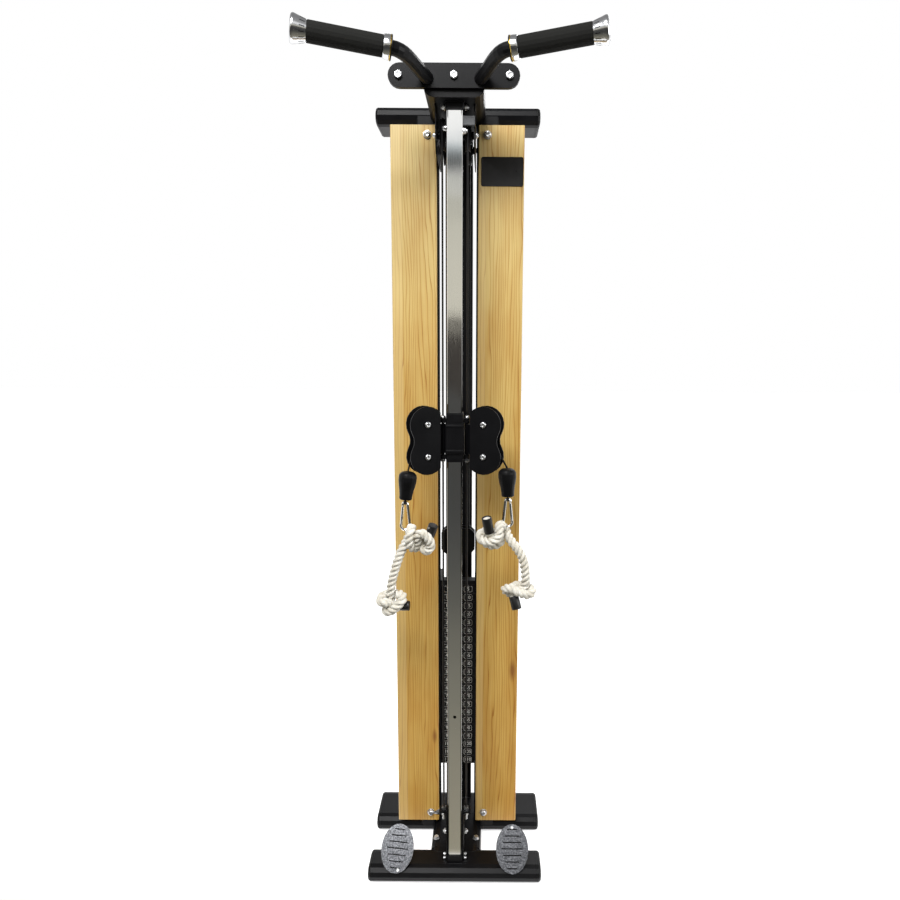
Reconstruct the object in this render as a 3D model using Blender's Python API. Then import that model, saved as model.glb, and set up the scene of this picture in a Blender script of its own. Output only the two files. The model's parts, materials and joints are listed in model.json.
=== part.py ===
"""Multi gym station: base and head weldments, slide post with a sliding carriage,
two swivelling pulley cages, snap hooks with rope handles, and a pin loaded weight stack.
Metres, Z up. The origin is on the floor under the slide post and the front faces -Y."""
import math

import bmesh
import bpy
from mathutils import Matrix, Vector

GAP = 0.0003
SINK = 0.002
WALL = 0.003

# Slide post: the 40 mm square the whole size comes from
POST = 0.040
POST_WALL = 0.0025
POST_LOW = 0.0536

# Base and head tubes
TUBE_H = 0.050
BASE_FRONT_Y = (-0.050, 0.050)
BASE_FRONT_HALF = 0.237
REAR_Y = (0.175, 0.325)
BASE_REAR_HALF = 0.244
FOOT_X = BASE_FRONT_HALF - 0.071
SPINE_HALF = 0.075
SPINE_DROP = 0.0005
HEAD_Z = 2.126
POST_HIGH = HEAD_Z - 0.0036
PLATE_Z = (HEAD_Z + 0.0185, HEAD_Z + 0.075)
HEAD_REAR_HALF = 0.214
HEAD_FRONT_Y = -0.048
CAP_LENGTH = 0.012
CAP_PLUG = 0.020

# Pulleys and cables
CABLE_R = 0.0025
CABLE_X = 0.032
GROOVE_R = 0.0362
RIM_R = 0.040
PULLEY_SIDES = 18
CABLE_RUN_R = GROOVE_R + CABLE_R + GAP
PULLEY_HALF = 0.0085
AXLE_R = 0.006
AXLE_DROP = 0.064
TOP_AXLE_Z = HEAD_Z - AXLE_DROP
FRONT_AXLE_Y = CABLE_RUN_R
LIFT_Y = 0.225
REAR_AXLE_Y = LIFT_Y - CABLE_RUN_R
TERMINAL_Z = 0.201

# Weight stack
PLATE_HALF = 0.140
PLATE_Y = (0.208, 0.324)
NOTCH_HALF = 0.050
NOTCH_Y = 0.243
PLATE_PITCH = 0.0268
STACK_LOW = 0.2185
RESTING_PLATES = 18
LIFTED_PLATES = 4
ROD_X = 0.095
ROD_Y = 0.262
ROD_R = 0.010
STEM_R = 0.009
FORK_Z = 0.937
TRAVEL_CABLE_R = CABLE_X
PIN_R = 0.004

# Carriage
HINGE_X = 0.032
COLLAR = 0.050
COLLAR_WALL = 0.0025
COLLAR_Z = (1.248, 1.330)
LUG_TOP = (1.329, 1.341)
LUG_LOW = (1.232, 1.244)
TAB_TOP = (1.318, 1.326)
TAB_LOW = (1.247, 1.255)
WHEEL_U = 0.050
WHEEL_HIGH = 1.327
WHEEL_LOW = 1.242
CAGE_R = 0.048
CAGE_EDGE_U = 0.0135
WAIST_R = 0.038
CAGE_W = (0.014, 0.017)
TOE = {"left": math.radians(26.0), "right": math.radians(17.0)}
SIGN = {"left": -1.0, "right": 1.0}

# Handles
STOPPER = {"left": (-0.1200, -0.0450, 1.205), "right": (0.1384, -0.0325, 1.213)}
STOPPER_LEAN = {"left": math.radians(6.5), "right": math.radians(-2.2)}
STOPPER_TALL = 0.075
EYE_DROP = 0.0060
EYE_R = 0.0075
EYE_WIRE = 0.0020
HOOK_WIRE = 0.0036
HOOK_TOP_R = 0.0062
HOOK_LOW_R = 0.0119
HOOK_TALL = 0.0755
GATE_R = 0.0032
ROPE_R = 0.0125
ROPE_Y = -0.050
BIGHT_R = 0.0110
BIGHT_BACK = 0.0040

COLOURS = {
    "black_powder_coat": ((0.045, 0.045, 0.048), 0.55, 0.0),
    "black_plastic": ((0.020, 0.020, 0.021), 0.45, 0.0),
    "black_foam": ((0.016, 0.016, 0.017), 0.90, 0.0),
    "pine": ((0.560, 0.360, 0.140), 0.50, 0.0),
    "polished_steel": ((0.700, 0.700, 0.700), 0.16, 1.0),
    "zinc_steel": ((0.550, 0.550, 0.540), 0.35, 1.0),
    "silver_plate": ((0.600, 0.600, 0.610), 0.40, 0.9),
    "bright_aluminium": ((0.720, 0.720, 0.720), 0.20, 1.0),
    "black_iron": ((0.030, 0.030, 0.032), 0.60, 0.0),
    "black_cable": ((0.015, 0.015, 0.016), 0.50, 0.0),
    "cotton_rope": ((0.720, 0.670, 0.540), 0.90, 0.0),
}


def clear_scene():
    for item in list(bpy.data.objects):
        bpy.data.objects.remove(item)


def material(slot):
    known = bpy.data.materials.get(slot)
    if known:
        return known
    colour, roughness, metallic = COLOURS[slot]
    made = bpy.data.materials.new(slot)
    made.use_nodes = True
    shader = made.node_tree.nodes["Principled BSDF"]
    shader.inputs["Base Color"].default_value = (*colour, 1.0)
    shader.inputs["Roughness"].default_value = roughness
    shader.inputs["Metallic"].default_value = metallic
    made.diffuse_color = (*colour, 1.0)
    return made


def solid(points, faces):
    mesh = bpy.data.meshes.new("solid")
    mesh.from_pydata([tuple(point) for point in points], [], faces)
    work = bmesh.new()
    work.from_mesh(mesh)
    bmesh.ops.remove_doubles(work, verts=work.verts, dist=0.000001)
    bmesh.ops.recalc_face_normals(work, faces=work.faces)
    work.to_mesh(mesh)
    work.free()
    return mesh


def moved(mesh, matrix):
    copy = mesh.copy()
    copy.transform(matrix)
    if matrix.determinant() < 0.0:
        copy.flip_normals()
    return copy


def shifted(mesh, x, y, z):
    return moved(mesh, Matrix.Translation((x, y, z)))


def mirrored(mesh):
    return moved(mesh, Matrix.Diagonal((-1.0, 1.0, 1.0, 1.0)))


def for_side(mesh, side):
    return mesh if side == "right" else mirrored(mesh)


def together(meshes):
    work = bmesh.new()
    for mesh in meshes:
        work.from_mesh(mesh)
    joined = bpy.data.meshes.new("joined")
    work.to_mesh(joined)
    work.free()
    return joined


def combine(base, tool, operation):
    first = bpy.data.objects.new("base", base)
    second = bpy.data.objects.new("tool", tool)
    for item in (first, second):
        bpy.context.scene.collection.objects.link(item)
    change = first.modifiers.new("combine", "BOOLEAN")
    change.operation = operation
    change.solver = "EXACT"
    change.object = second
    graph = bpy.context.evaluated_depsgraph_get()
    result = bpy.data.meshes.new_from_object(first.evaluated_get(graph))
    for item in (first, second):
        bpy.data.objects.remove(item)
    return result


def fused(meshes):
    result = meshes[0]
    for mesh in meshes[1:]:
        result = combine(result, mesh, "UNION")
    return result


def cut(base, tools):
    for tool in tools:
        base = combine(base, tool, "DIFFERENCE")
    return base


def add_part(name, mesh, slot, pivot=(0.0, 0.0, 0.0), smooth=False):
    final = moved(mesh, Matrix.Translation(-Vector(pivot)))
    final.name = name
    final.materials.clear()
    final.materials.append(material(slot))
    work = bmesh.new()
    work.from_mesh(final)
    bmesh.ops.remove_doubles(work, verts=work.verts, dist=0.000002)
    bmesh.ops.dissolve_degenerate(work, edges=work.edges, dist=0.000002)
    for face in work.faces:
        face.material_index = 0
        face.smooth = smooth
    if smooth:
        for edge in work.edges:
            sharp = len(edge.link_faces) == 2 and edge.calc_face_angle(0.0) > math.radians(35.0)
            edge.smooth = not sharp
    work.to_mesh(final)
    work.free()
    part = bpy.data.objects.new(name, final)
    part.location = pivot
    bpy.context.scene.collection.objects.link(part)
    return part


def axis_point(axis, first, second, along):
    if axis == "X":
        return (along, first, second)
    if axis == "Y":
        return (first, along, second)
    return (first, second, along)


def loft(sections, axis):
    count = len(sections[0][0])
    points = []
    for outline, along in sections:
        points.extend(axis_point(axis, first, second, along) for first, second in outline)
    faces = [tuple(range(count))]
    for ring in range(len(sections) - 1):
        base = ring * count
        for index in range(count):
            after = (index + 1) % count
            faces.append((base + index, base + after, base + count + after, base + count + index))
    last = (len(sections) - 1) * count
    faces.append(tuple(range(last, last + count)))
    return solid(points, faces)


def prism(outline, axis, low, high):
    return loft([(outline, low), (outline, high)], axis)


def ring_prism(outer, inner, axis, low, high):
    count = len(outer)
    loops = [(outer, low), (outer, high), (inner, high), (inner, low)]
    points = []
    for outline, along in loops:
        points.extend(axis_point(axis, first, second, along) for first, second in outline)
    faces = []
    for ring in range(4):
        base = ring * count
        other = ((ring + 1) % 4) * count
        for index in range(count):
            after = (index + 1) % count
            faces.append((base + index, base + after, other + after, other + index))
    return solid(points, faces)


def rounded(low_a, high_a, low_b, high_b, radius, steps=4):
    corners = ((high_a - radius, high_b - radius, 0.0), (low_a + radius, high_b - radius, 90.0),
               (low_a + radius, low_b + radius, 180.0), (high_a - radius, low_b + radius, 270.0))
    outline = []
    for centre_a, centre_b, start in corners:
        for step in range(steps + 1):
            angle = math.radians(start + 90.0 * step / steps)
            outline.append((centre_a + radius * math.cos(angle), centre_b + radius * math.sin(angle)))
    return outline


def flat_oval(low_a, high_a, low_b, high_b, steps=3):
    radius = (high_b - low_b) / 2.0 - 0.0001
    return rounded(low_a, high_a, low_b, high_b, radius, steps)


def circle(centre_a, centre_b, radius, count=24, start=0.0):
    turn = 2.0 * math.pi / count
    return [(centre_a + radius * math.cos(start + turn * index),
             centre_b + radius * math.sin(start + turn * index)) for index in range(count)]


def rod(axis, centre_a, centre_b, radius, low, high, count):
    return prism(circle(centre_a, centre_b, radius, count), axis, low, high)


def tube(axis, centre_a, centre_b, radius, bore, low, high, count=24):
    outer = circle(centre_a, centre_b, radius, count)
    inner = circle(centre_a, centre_b, bore, count)
    return ring_prism(outer, inner, axis, low, high)


def box(low, high):
    outline = [(low[0], low[1]), (high[0], low[1]), (high[0], high[1]), (low[0], high[1])]
    return prism(outline, "Z", low[2], high[2])


def turned(profile, axis, centre_a, centre_b, count=32):
    """Turns a closed outline of (radius, position) about an axis; radius 0 is a pole."""
    points = []
    for radius, along in profile:
        points.extend(axis_point(axis, first, second, along)
                      for first, second in circle(centre_a, centre_b, max(radius, 0.0), count))
    faces = []
    total = len(profile)
    for ring in range(total):
        here, there = ring * count, ((ring + 1) % total) * count
        if profile[ring][0] <= 0.0 and profile[(ring + 1) % total][0] <= 0.0:
            continue
        for index in range(count):
            after = (index + 1) % count
            faces.append((here + index, here + after, there + after, there + index))
    return weld_faces(points, faces)


def weld_faces(points, faces):
    seen = {}
    renamed = []
    kept = []
    for point in points:
        key = tuple(round(value, 7) for value in point)
        if key not in seen:
            seen[key] = len(kept)
            kept.append(point)
        renamed.append(seen[key])
    clean = []
    for face in faces:
        loop = []
        for index in face:
            if renamed[index] not in loop:
                loop.append(renamed[index])
        if len(loop) > 2:
            clean.append(tuple(loop))
    return solid(kept, clean)


def sweep(path, radius, bore=0.0, sides=16, closed=False):
    """Carries a circle along a path without twist; a bore leaves it open at both ends."""
    path = [Vector(point) for point in path]
    total = len(path)
    frames = []
    side = None
    for index, point in enumerate(path):
        if closed:
            before, after = path[index - 1], path[(index + 1) % total]
        else:
            before, after = path[max(index - 1, 0)], path[min(index + 1, total - 1)]
        forward = (after - before).normalized()
        if side is None:
            guide = Vector((0.0, 0.0, 1.0)) if abs(forward.z) < 0.9 else Vector((0.0, 1.0, 0.0))
            side = forward.cross(guide).normalized()
        side = (side - forward * side.dot(forward)).normalized()
        frames.append((point, side, forward.cross(side)))
    loops = []
    for size in ((radius, bore) if bore else (radius,)):
        for point, first, second in frames:
            loops.append([point + first * (size * math.cos(angle)) + second * (size * math.sin(angle))
                          for angle in (2.0 * math.pi * step / sides for step in range(sides))])
    points = [point for loop in loops for point in loop]
    faces = []

    def join(one, two):
        for index in range(sides):
            after = (index + 1) % sides
            faces.append((one * sides + index, one * sides + after, two * sides + after, two * sides + index))

    for ring in range(total - 1):
        join(ring, ring + 1)
        if bore:
            join(total + ring, total + ring + 1)
    if closed:
        join(total - 1, 0)
    elif bore:
        join(0, total)
        join(total - 1, 2 * total - 1)
    else:
        faces.append(tuple(range(sides)))
        faces.append(tuple(range((total - 1) * sides, total * sides)))
    return solid(points, faces)


def arc(centre, radius, start, end, steps, plane="XZ"):
    path = []
    for step in range(steps + 1):
        angle = math.radians(start + (end - start) * step / steps)
        first, second = radius * math.cos(angle), radius * math.sin(angle)
        if plane == "XZ":
            path.append((centre[0] + first, centre[1], centre[2] + second))
        else:
            path.append((centre[0], centre[1] + first, centre[2] + second))
    return path


def ball(centre, size, count=14):
    profile = [(0.0, -size[2])]
    for step in range(1, 7):
        angle = math.radians(-90.0 + 180.0 * step / 7)
        profile.append((math.cos(angle), size[2] * math.sin(angle)))
    profile.append((0.0, size[2]))
    shape = turned(profile, "Z", 0.0, 0.0, count)
    scale = Matrix.Diagonal((size[0], size[1], 1.0, 1.0))
    return moved(shape, Matrix.Translation(centre) @ scale)


def post_cup(low, high, web_low, web_high):
    half = POST / 2 + GAP
    outer = rounded(-half - WALL, half + WALL, -half - WALL, half + WALL, 0.004)
    inner = rounded(-half, half, -half, half, 0.003)
    return prism(outer, "Z", low, high), prism(inner, "Z", web_low, web_high)


def gusset():
    """Y-Z profile that carries a foot plate on the front base tube."""
    lean = math.radians(40.0)
    along, back = (math.sin(lean), math.cos(lean)), (math.cos(lean), -math.sin(lean))
    profile = []
    for run in (0.010, 0.112):
        profile.append((-0.055 + along[0] * run + back[0] * 0.0043, 0.042 + along[1] * run + back[1] * 0.0043))
    profile += [(0.028, 0.046), (-0.040, 0.030)]
    return prism(profile, "X", FOOT_X - 0.003, FOOT_X + 0.003)


def anchor_bracket():
    wall = box((0.0215, -0.015, 0.0485), (0.0252, 0.045, 0.207))
    tab = box((0.0240, -0.012, TERMINAL_Z), (0.045, 0.014, 0.2068))
    hole = rod("Z", CABLE_X, 0.0, 0.0045, 0.190, 0.215, 16)
    return cut(combine(wall, tab, "UNION"), [hole])


def build_base_frame():
    front = prism(flat_oval(*BASE_FRONT_Y, 0.0, TUBE_H), "X", -BASE_FRONT_HALF, BASE_FRONT_HALF)
    rear = prism(flat_oval(*REAR_Y, 0.0, TUBE_H), "X", -BASE_REAR_HALF, BASE_REAR_HALF)
    spine = prism(flat_oval(-SPINE_HALF, SPINE_HALF, SPINE_DROP, TUBE_H - SPINE_DROP), "Y", 0.0, 0.250)
    cup, pocket = post_cup(0.0485, 0.074, 0.0533 - GAP, 0.080)
    bracket, foot = anchor_bracket(), gusset()
    outer = fused([front, rear, spine, cup, bracket, mirrored(bracket), foot, mirrored(foot)])
    reach = 0.010
    front_in = prism(flat_oval(BASE_FRONT_Y[0] + WALL, BASE_FRONT_Y[1] - WALL, WALL, TUBE_H - WALL), "X",
                     -BASE_FRONT_HALF - reach, BASE_FRONT_HALF + reach)
    rear_in = prism(flat_oval(REAR_Y[0] + WALL, REAR_Y[1] - WALL, WALL, TUBE_H - WALL), "X",
                    -BASE_REAR_HALF - reach, BASE_REAR_HALF + reach)
    spine_in = prism(flat_oval(-SPINE_HALF + WALL, SPINE_HALF - WALL, WALL + SPINE_DROP,
                               TUBE_H - WALL - SPINE_DROP), "Y", 0.0, 0.250)
    hollow = fused([front_in, rear_in, spine_in])
    add_part("base_frame", cut(outer, [hollow, pocket]), "black_powder_coat")


def tube_cap(y_range, low, half):
    """Domed plug for the right-hand end of a flat-sided tube."""
    plug = WALL + GAP
    front, back = y_range

    def outline(inset):
        return flat_oval(front + inset, back - inset, low + inset, low + TUBE_H - inset)

    start = half + GAP
    stations = ((plug, half - CAP_PLUG), (plug, start), (0.0, start), (0.0, half + 0.005),
                (0.0030, half + 0.010), (0.0090, half + CAP_LENGTH))
    return loft([(outline(inset), along) for inset, along in stations], "X")


def build_tube_caps():
    plans = (("front_base_cap", BASE_FRONT_Y, 0.0, BASE_FRONT_HALF),
             ("rear_base_cap", REAR_Y, 0.0, BASE_REAR_HALF),
             ("top_tube_cap", REAR_Y, HEAD_Z, HEAD_REAR_HALF))
    for stem, y_range, low, half in plans:
        cap = tube_cap(y_range, low, half)
        for side in ("left", "right"):
            add_part(f"{stem}_{side}", for_side(cap, side), "black_plastic")


def cheek():
    back = LIFT_Y + WALL
    drops = ((-WALL, 0.001), (-WALL, -0.086), (0.020, -0.114), (back - 0.023, -0.117), (back, -0.086), (back, 0.001))
    return prism([(along, HEAD_Z + drop) for along, drop in drops], "X", 0.047, 0.050)


def axle_with_spacers(axle_y):
    hub = 0.0095
    bar = rod("X", axle_y, TOP_AXLE_Z, AXLE_R, -0.0485, 0.0485, 14)
    middle = CABLE_X - PULLEY_HALF - GAP
    outer = CABLE_X + PULLEY_HALF + GAP
    sleeves = [rod("X", axle_y, TOP_AXLE_Z, hub, outer, 0.0485, 14),
               rod("X", axle_y, TOP_AXLE_Z, hub, -0.0485, -outer, 14)]
    if axle_y - hub > POST / 2 + 0.002:
        sleeves.append(rod("X", axle_y, TOP_AXLE_Z, hub, -middle, middle, 14))
    return fused([bar] + sleeves)


def build_top_frame():
    high = HEAD_Z + TUBE_H
    cross = prism(flat_oval(*REAR_Y, HEAD_Z, high), "X", -HEAD_REAR_HALF, HEAD_REAR_HALF)
    head = prism(flat_oval(-SPINE_HALF, SPINE_HALF, HEAD_Z + SPINE_DROP, high - SPINE_DROP), "Y",
                 HEAD_FRONT_Y - SINK, 0.250)
    plate = prism(rounded(-0.159, 0.159, *PLATE_Z, 0.0282, 5), "Y", -0.054, HEAD_FRONT_Y)
    cup, pocket = post_cup(HEAD_Z - 0.019, HEAD_Z + 0.0015, HEAD_Z - 0.026, POST_HIGH + GAP)
    outer = fused([cross, head, plate, cup, cheek(), mirrored(cheek())])
    cross_in = prism(flat_oval(REAR_Y[0] + WALL, REAR_Y[1] - WALL, HEAD_Z + WALL, high - WALL), "X",
                     -HEAD_REAR_HALF - 0.010, HEAD_REAR_HALF + 0.010)
    head_in = prism(flat_oval(-SPINE_HALF + WALL, SPINE_HALF - WALL, HEAD_Z + WALL + SPINE_DROP,
                              high - WALL - SPINE_DROP), "Y", HEAD_FRONT_Y + WALL, 0.250)
    body = cut(outer, [fused([cross_in, head_in]), pocket])
    body = fused([body, axle_with_spacers(FRONT_AXLE_Y), axle_with_spacers(REAR_AXLE_Y)])
    add_part("top_frame", body, "black_powder_coat")


def handle_line(run):
    """Point on the right grip's centre line, run metres out from the collar."""
    start, direction = Vector((0.130, -0.205, HEAD_Z + 0.053)), Vector((0.9725, -0.2112, 0.0982)).normalized()
    return start + direction * run


def along_grip(mesh):
    """Carries a shape made along Z from the origin onto the right grip's centre line."""
    direction = (handle_line(1.0) - handle_line(0.0)).normalized()
    turn = direction.to_track_quat("Z", "Y").to_matrix().to_4x4()
    return moved(mesh, Matrix.Translation(handle_line(0.0)) @ turn)


def handle_path():
    start, corner = Vector((0.064, -0.057, HEAD_Z + 0.040)), Vector((0.108, -0.200, HEAD_Z + 0.051))
    into = corner + (start - corner).normalized() * 0.050
    out = handle_line(-0.001)
    path = [start]
    for step in range(6):
        blend = step / 5
        path.append((1 - blend) ** 2 * into + 2 * blend * (1 - blend) * corner + blend ** 2 * out)
    path += [handle_line(0.010), handle_line(0.204)]
    return path


def build_handle():
    plate = prism(rounded(-0.159, 0.159, *PLATE_Z, 0.0282, 5), "Y", -0.0603, -0.0543)
    add_part("handle_plate", plate, "black_powder_coat")
    face_cut = box((-0.2, -0.0606, HEAD_Z - 0.026), (0.2, 0.05, HEAD_Z + 0.124))
    bar = cut(sweep(handle_path(), 0.016, 0.0135, 14), [face_cut])
    bore = 0.016 + GAP
    collar = turned([(bore, 0.0), (0.019, 0.0), (0.0235, 0.004), (0.025, 0.010), (0.025, 0.019), (bore, 0.019)],
                    "Z", 0.0, 0.0, 18)
    foam = turned([(bore, 0.0193), (0.022, 0.0193), (0.023, 0.0205), (0.023, 0.1808), (0.022, 0.182),
                   (bore, 0.182)], "Z", 0.0, 0.0, 18)
    cap = turned([(0.0, 0.2043), (bore, 0.2043), (bore, 0.1823), (0.022, 0.1823), (0.024, 0.190),
                  (0.030, 0.205), (0.031, 0.211), (0.029, 0.216), (0.026, 0.217), (0.0, 0.217)],
                 "Z", 0.0, 0.0, 18)
    for side in ("left", "right"):
        add_part(f"handle_tube_{side}", for_side(bar, side), "black_powder_coat", smooth=True)
        add_part(f"grip_collar_{side}", for_side(along_grip(collar), side), "bright_aluminium", smooth=True)
        add_part(f"foam_grip_{side}", for_side(along_grip(foam), side), "black_foam", smooth=True)
        add_part(f"grip_end_cap_{side}", for_side(along_grip(cap), side), "bright_aluminium", smooth=True)


def build_post_and_columns():
    half = POST / 2
    inner = half - POST_WALL
    post = ring_prism(rounded(-half, half, -half, half, 0.004, 3), rounded(-inner, inner, -inner, inner, 0.002, 3),
                      "Z", POST_LOW, POST_HIGH)
    pin_hole = rod("Y", 0.0, 0.502, 0.0045, -0.030, 0.0, 12)
    add_part("slide_post", cut(post, [pin_hole]), "polished_steel")
    tubes = [prism(flat_oval(REAR_Y[0] - GAP, REAR_Y[1] + GAP, low, low + TUBE_H + 2 * GAP), "X", -0.3, 0.3)
             for low in (-GAP, HEAD_Z - GAP)]
    spans = [prism(flat_oval(-SPINE_HALF - GAP, SPINE_HALF + GAP, low, low + TUBE_H), "Y", -0.05, 0.2503)
             for low in (0.0, HEAD_Z)]
    front, wall = REAR_Y[0], 0.0025
    near, far = front + GAP, front + GAP + 0.030
    outer = rounded(0.052, 0.112, near, far, 0.003, 2)
    inner = rounded(0.052 + wall, 0.112 - wall, near + wall, far - wall, 0.0015, 2)
    low, high = TUBE_H / 2 + 0.0002, HEAD_Z + TUBE_H / 2 - 0.0002
    upright = cut(ring_prism(outer, inner, "Z", low, high), tubes + spans)
    board = prism(rounded(0.057, 0.182, front - 0.025, front, 0.003, 3), "Z", TUBE_H + 0.013, HEAD_Z - 0.007)
    for side in ("left", "right"):
        add_part(f"upright_{side}", for_side(upright, side), "black_powder_coat")
        add_part(f"board_{side}", for_side(board, side), "pine")
    near, far = REAR_Y[1] - 0.045, REAR_Y[1] - 0.005
    outer = rounded(-0.040, 0.040, near, far, 0.003, 2)
    inner = rounded(WALL - 0.040, 0.040 - WALL, near + WALL, far - WALL, 0.0015, 2)
    column = cut(ring_prism(outer, inner, "Z", TUBE_H - 0.020, HEAD_Z + 0.020), tubes)
    add_part("rear_column", column, "black_powder_coat")


def build_foot_plates():
    lean = math.radians(40.0)
    across, tall, thick = 0.094, 0.127, 0.004
    outline = [(across / 2 * math.cos(angle), tall / 2 * math.sin(angle))
               for angle in (2 * math.pi * step / 28 for step in range(28))]
    plate = prism(outline, "Y", 0.0, thick)
    slots = []
    for index, width in enumerate((0.030, 0.042, 0.054, 0.063, 0.054, 0.045, 0.032)):
        height = (index - 3) * 0.0165
        slot = rounded(-width / 2, width / 2, height - 0.0016, height + 0.0016, 0.0015, 1)
        slots.append(prism(slot, "Y", -0.002, 0.008))
    plate = cut(plate, [together(slots)])
    for side, roll in (("left", 5.0), ("right", 0.0)):
        sign = SIGN[side]
        centre = Vector((sign * FOOT_X, -0.055 + tall / 2 * math.sin(lean), 0.042 + tall / 2 * math.cos(lean)))
        place = Matrix.Translation(centre) @ Matrix.Rotation(-lean, 4, "X") @ Matrix.Rotation(
            math.radians(roll), 4, "Y")
        add_part(f"foot_plate_{side}", moved(plate, place), "silver_plate")


def plate_outline(inset):
    front, back = PLATE_Y[0] + inset, PLATE_Y[1] - inset
    half, notch = PLATE_HALF - inset, NOTCH_HALF + inset
    notch_front = NOTCH_Y - inset
    corner = 0.004
    right = [(0.0, front), (half - corner, front), (half, front + corner), (half, back), (notch, back),
             (notch, notch_front)]
    return right + [(-across, along) for across, along in reversed(right[1:])]


def plate_pile(low, count, height):
    edge = 0.0012
    sections = []
    for index in range(count):
        base = low + index * PLATE_PITCH
        sections += [(plate_outline(edge), base), (plate_outline(0.0), base + edge),
                     (plate_outline(0.0), base + height - edge)]
        if index == count - 1:
            sections.append((plate_outline(edge), base + height))
    bodies = loft(sections, "Z")
    top = low + count * PLATE_PITCH + 0.01
    holes = [rod("Z", 0.0, LIFT_Y, STEM_R + 0.0005, low - 0.01, top, 16),
             rod("Z", ROD_X, ROD_Y, ROD_R + 0.0006, low - 0.01, top, 14),
             rod("Z", -ROD_X, ROD_Y, ROD_R + 0.0006, low - 0.01, top, 14)]
    return cut(bodies, [together(holes)])


def selector_height(low, index):
    return low + index * PLATE_PITCH + 0.0134


def build_stack():
    lifted_low = STACK_LOW + RESTING_PLATES * PLATE_PITCH
    piles = (("resting_weight_plates", STACK_LOW, RESTING_PLATES), ("lifted_weight_plates", lifted_low, LIFTED_PLATES))
    for name, low, count in piles:
        height = PLATE_PITCH - GAP if name == "lifted_weight_plates" else PLATE_PITCH
        pile = plate_pile(low, count, height)
        if count > 1:
            holes = [rod("Y", 0.0, selector_height(low, index), 0.0050, 0.200, 0.2248, 6)
                     for index in range(count)]
            pile = cut(pile, [together(holes)])
        add_part(name, pile, "black_iron")
    top_low = lifted_low + LIFTED_PLATES * PLATE_PITCH
    add_part("stack_top_plate", plate_pile(top_low, 1, 0.0135), "black_iron")
    build_stem(lifted_low)
    pin = fused([turned([(0.0, 0.1875), (0.009, 0.1875), (0.012, 0.190), (0.012, 0.200), (0.009, 0.2035),
                         (0.0, 0.2035)], "Y", 0.0, selector_height(lifted_low, 0), 24),
                 rod("Y", 0.0, selector_height(lifted_low, 0), PIN_R, 0.203, 0.230, 20)])
    add_part("selector_pin", pin, "polished_steel", (0.0, 0.2, selector_height(lifted_low, 0)), True)


def build_stem(lifted_low):
    stem = rod("Z", 0.0, LIFT_Y, STEM_R, 0.230, 0.895, 16)
    holes = [rod("Y", 0.0, selector_height(STACK_LOW, index), 0.0048, 0.205, 0.245, 6)
             for index in range(12, RESTING_PLATES + LIFTED_PLATES)]
    stem = cut(stem, [together(holes)])
    profile = [(-0.050, 0.920), (-0.020, 0.889), (0.020, 0.889), (0.050, 0.920), (0.050, 0.972), (0.037, 0.985),
               (-0.037, 0.985), (-0.050, 0.972)]
    block = prism(profile, "Y", 0.206, 0.244)
    slot = box((-0.06, 0.2145, 0.897), (0.06, 0.2355, 0.99))
    axle = rod("Y", 0.0, FORK_Z, AXLE_R, 0.2075, 0.2425, 20)
    fork = combine(cut(block, [slot]), axle, "UNION")
    add_part("weight_stem", combine(stem, fork, "UNION"), "black_powder_coat")
    sheave = pulley(TRAVEL_CABLE_R - CABLE_R - GAP, 0.0345, 0.0100)
    sheave = shifted(moved(sheave, Matrix.Rotation(math.radians(90.0), 4, "Z")), 0.0, LIFT_Y, FORK_Z)
    add_part("travelling_pulley", sheave, "black_plastic", (0.0, LIFT_Y, FORK_Z), True)
    bend = sweep(arc((0.0, LIFT_Y, FORK_Z), TRAVEL_CABLE_R, 180.0, 360.0, 12), CABLE_R, sides=8)
    add_part("cable_bend", bend, "black_cable", smooth=True)


def pulley(groove, rim, half):
    """A grooved wheel on the X axis with a bored hub, centred on the origin."""
    bore = AXLE_R + GAP
    lip = half - 0.002
    profile = [(bore, -half), (0.013, -half), (0.014, 0.001 - lip), (rim - 0.008, 0.001 - lip), (rim - 0.007, -lip),
               (rim, -lip), (groove, -0.0010), (groove, 0.0010), (rim, lip), (rim - 0.007, lip),
               (rim - 0.008, lip - 0.001), (0.014, lip - 0.001), (0.013, half), (bore, half)]
    return turned(profile, "X", 0.0, 0.0, PULLEY_SIDES)


def build_top_pulleys():
    for stem, axle_y in (("top_front_pulley", FRONT_AXLE_Y), ("top_rear_pulley", REAR_AXLE_Y)):
        for side in ("left", "right"):
            place = (SIGN[side] * CABLE_X, axle_y, TOP_AXLE_Z)
            wheel = shifted(pulley(GROOVE_R, RIM_R, PULLEY_HALF), *place)
            add_part(f"{stem}_{side}", wheel, "black_plastic", place, True)


def hex_nut(low, high):
    """M8 nut on the cable stud, flats towards the bracket wall."""
    return prism(circle(CABLE_X, 0.0, 0.0074, 6, math.radians(30.0)), "Z", low, high)


def build_cables():
    run = CABLE_RUN_R
    path = [(CABLE_X, 0.0, 0.2153), (CABLE_X, 0.0, TOP_AXLE_Z - 0.001)]
    path += arc((CABLE_X, FRONT_AXLE_Y, TOP_AXLE_Z), run, 180.0, 90.0, 6, "YZ")
    path += arc((CABLE_X, REAR_AXLE_Y, TOP_AXLE_Z), run, 90.0, 0.0, 6, "YZ")
    front = sweep(path, CABLE_R, sides=8)
    lift = rod("Z", CABLE_X, LIFT_Y, CABLE_R, FORK_Z + GAP, TOP_AXLE_Z - GAP, 10)
    studs = fused([rod("Z", CABLE_X, 0.0, 0.004, 0.176, 0.2137, 16),
                   hex_nut(0.2071, 0.2150),
                   hex_nut(0.1900, 0.2007)])
    for side in ("left", "right"):
        add_part(f"front_cable_{side}", for_side(front, side), "black_cable", smooth=True)
        add_part(f"lift_cable_{side}", for_side(lift, side), "black_cable", smooth=True)
        add_part(f"cable_terminal_{side}", for_side(studs, side), "zinc_steel")


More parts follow.
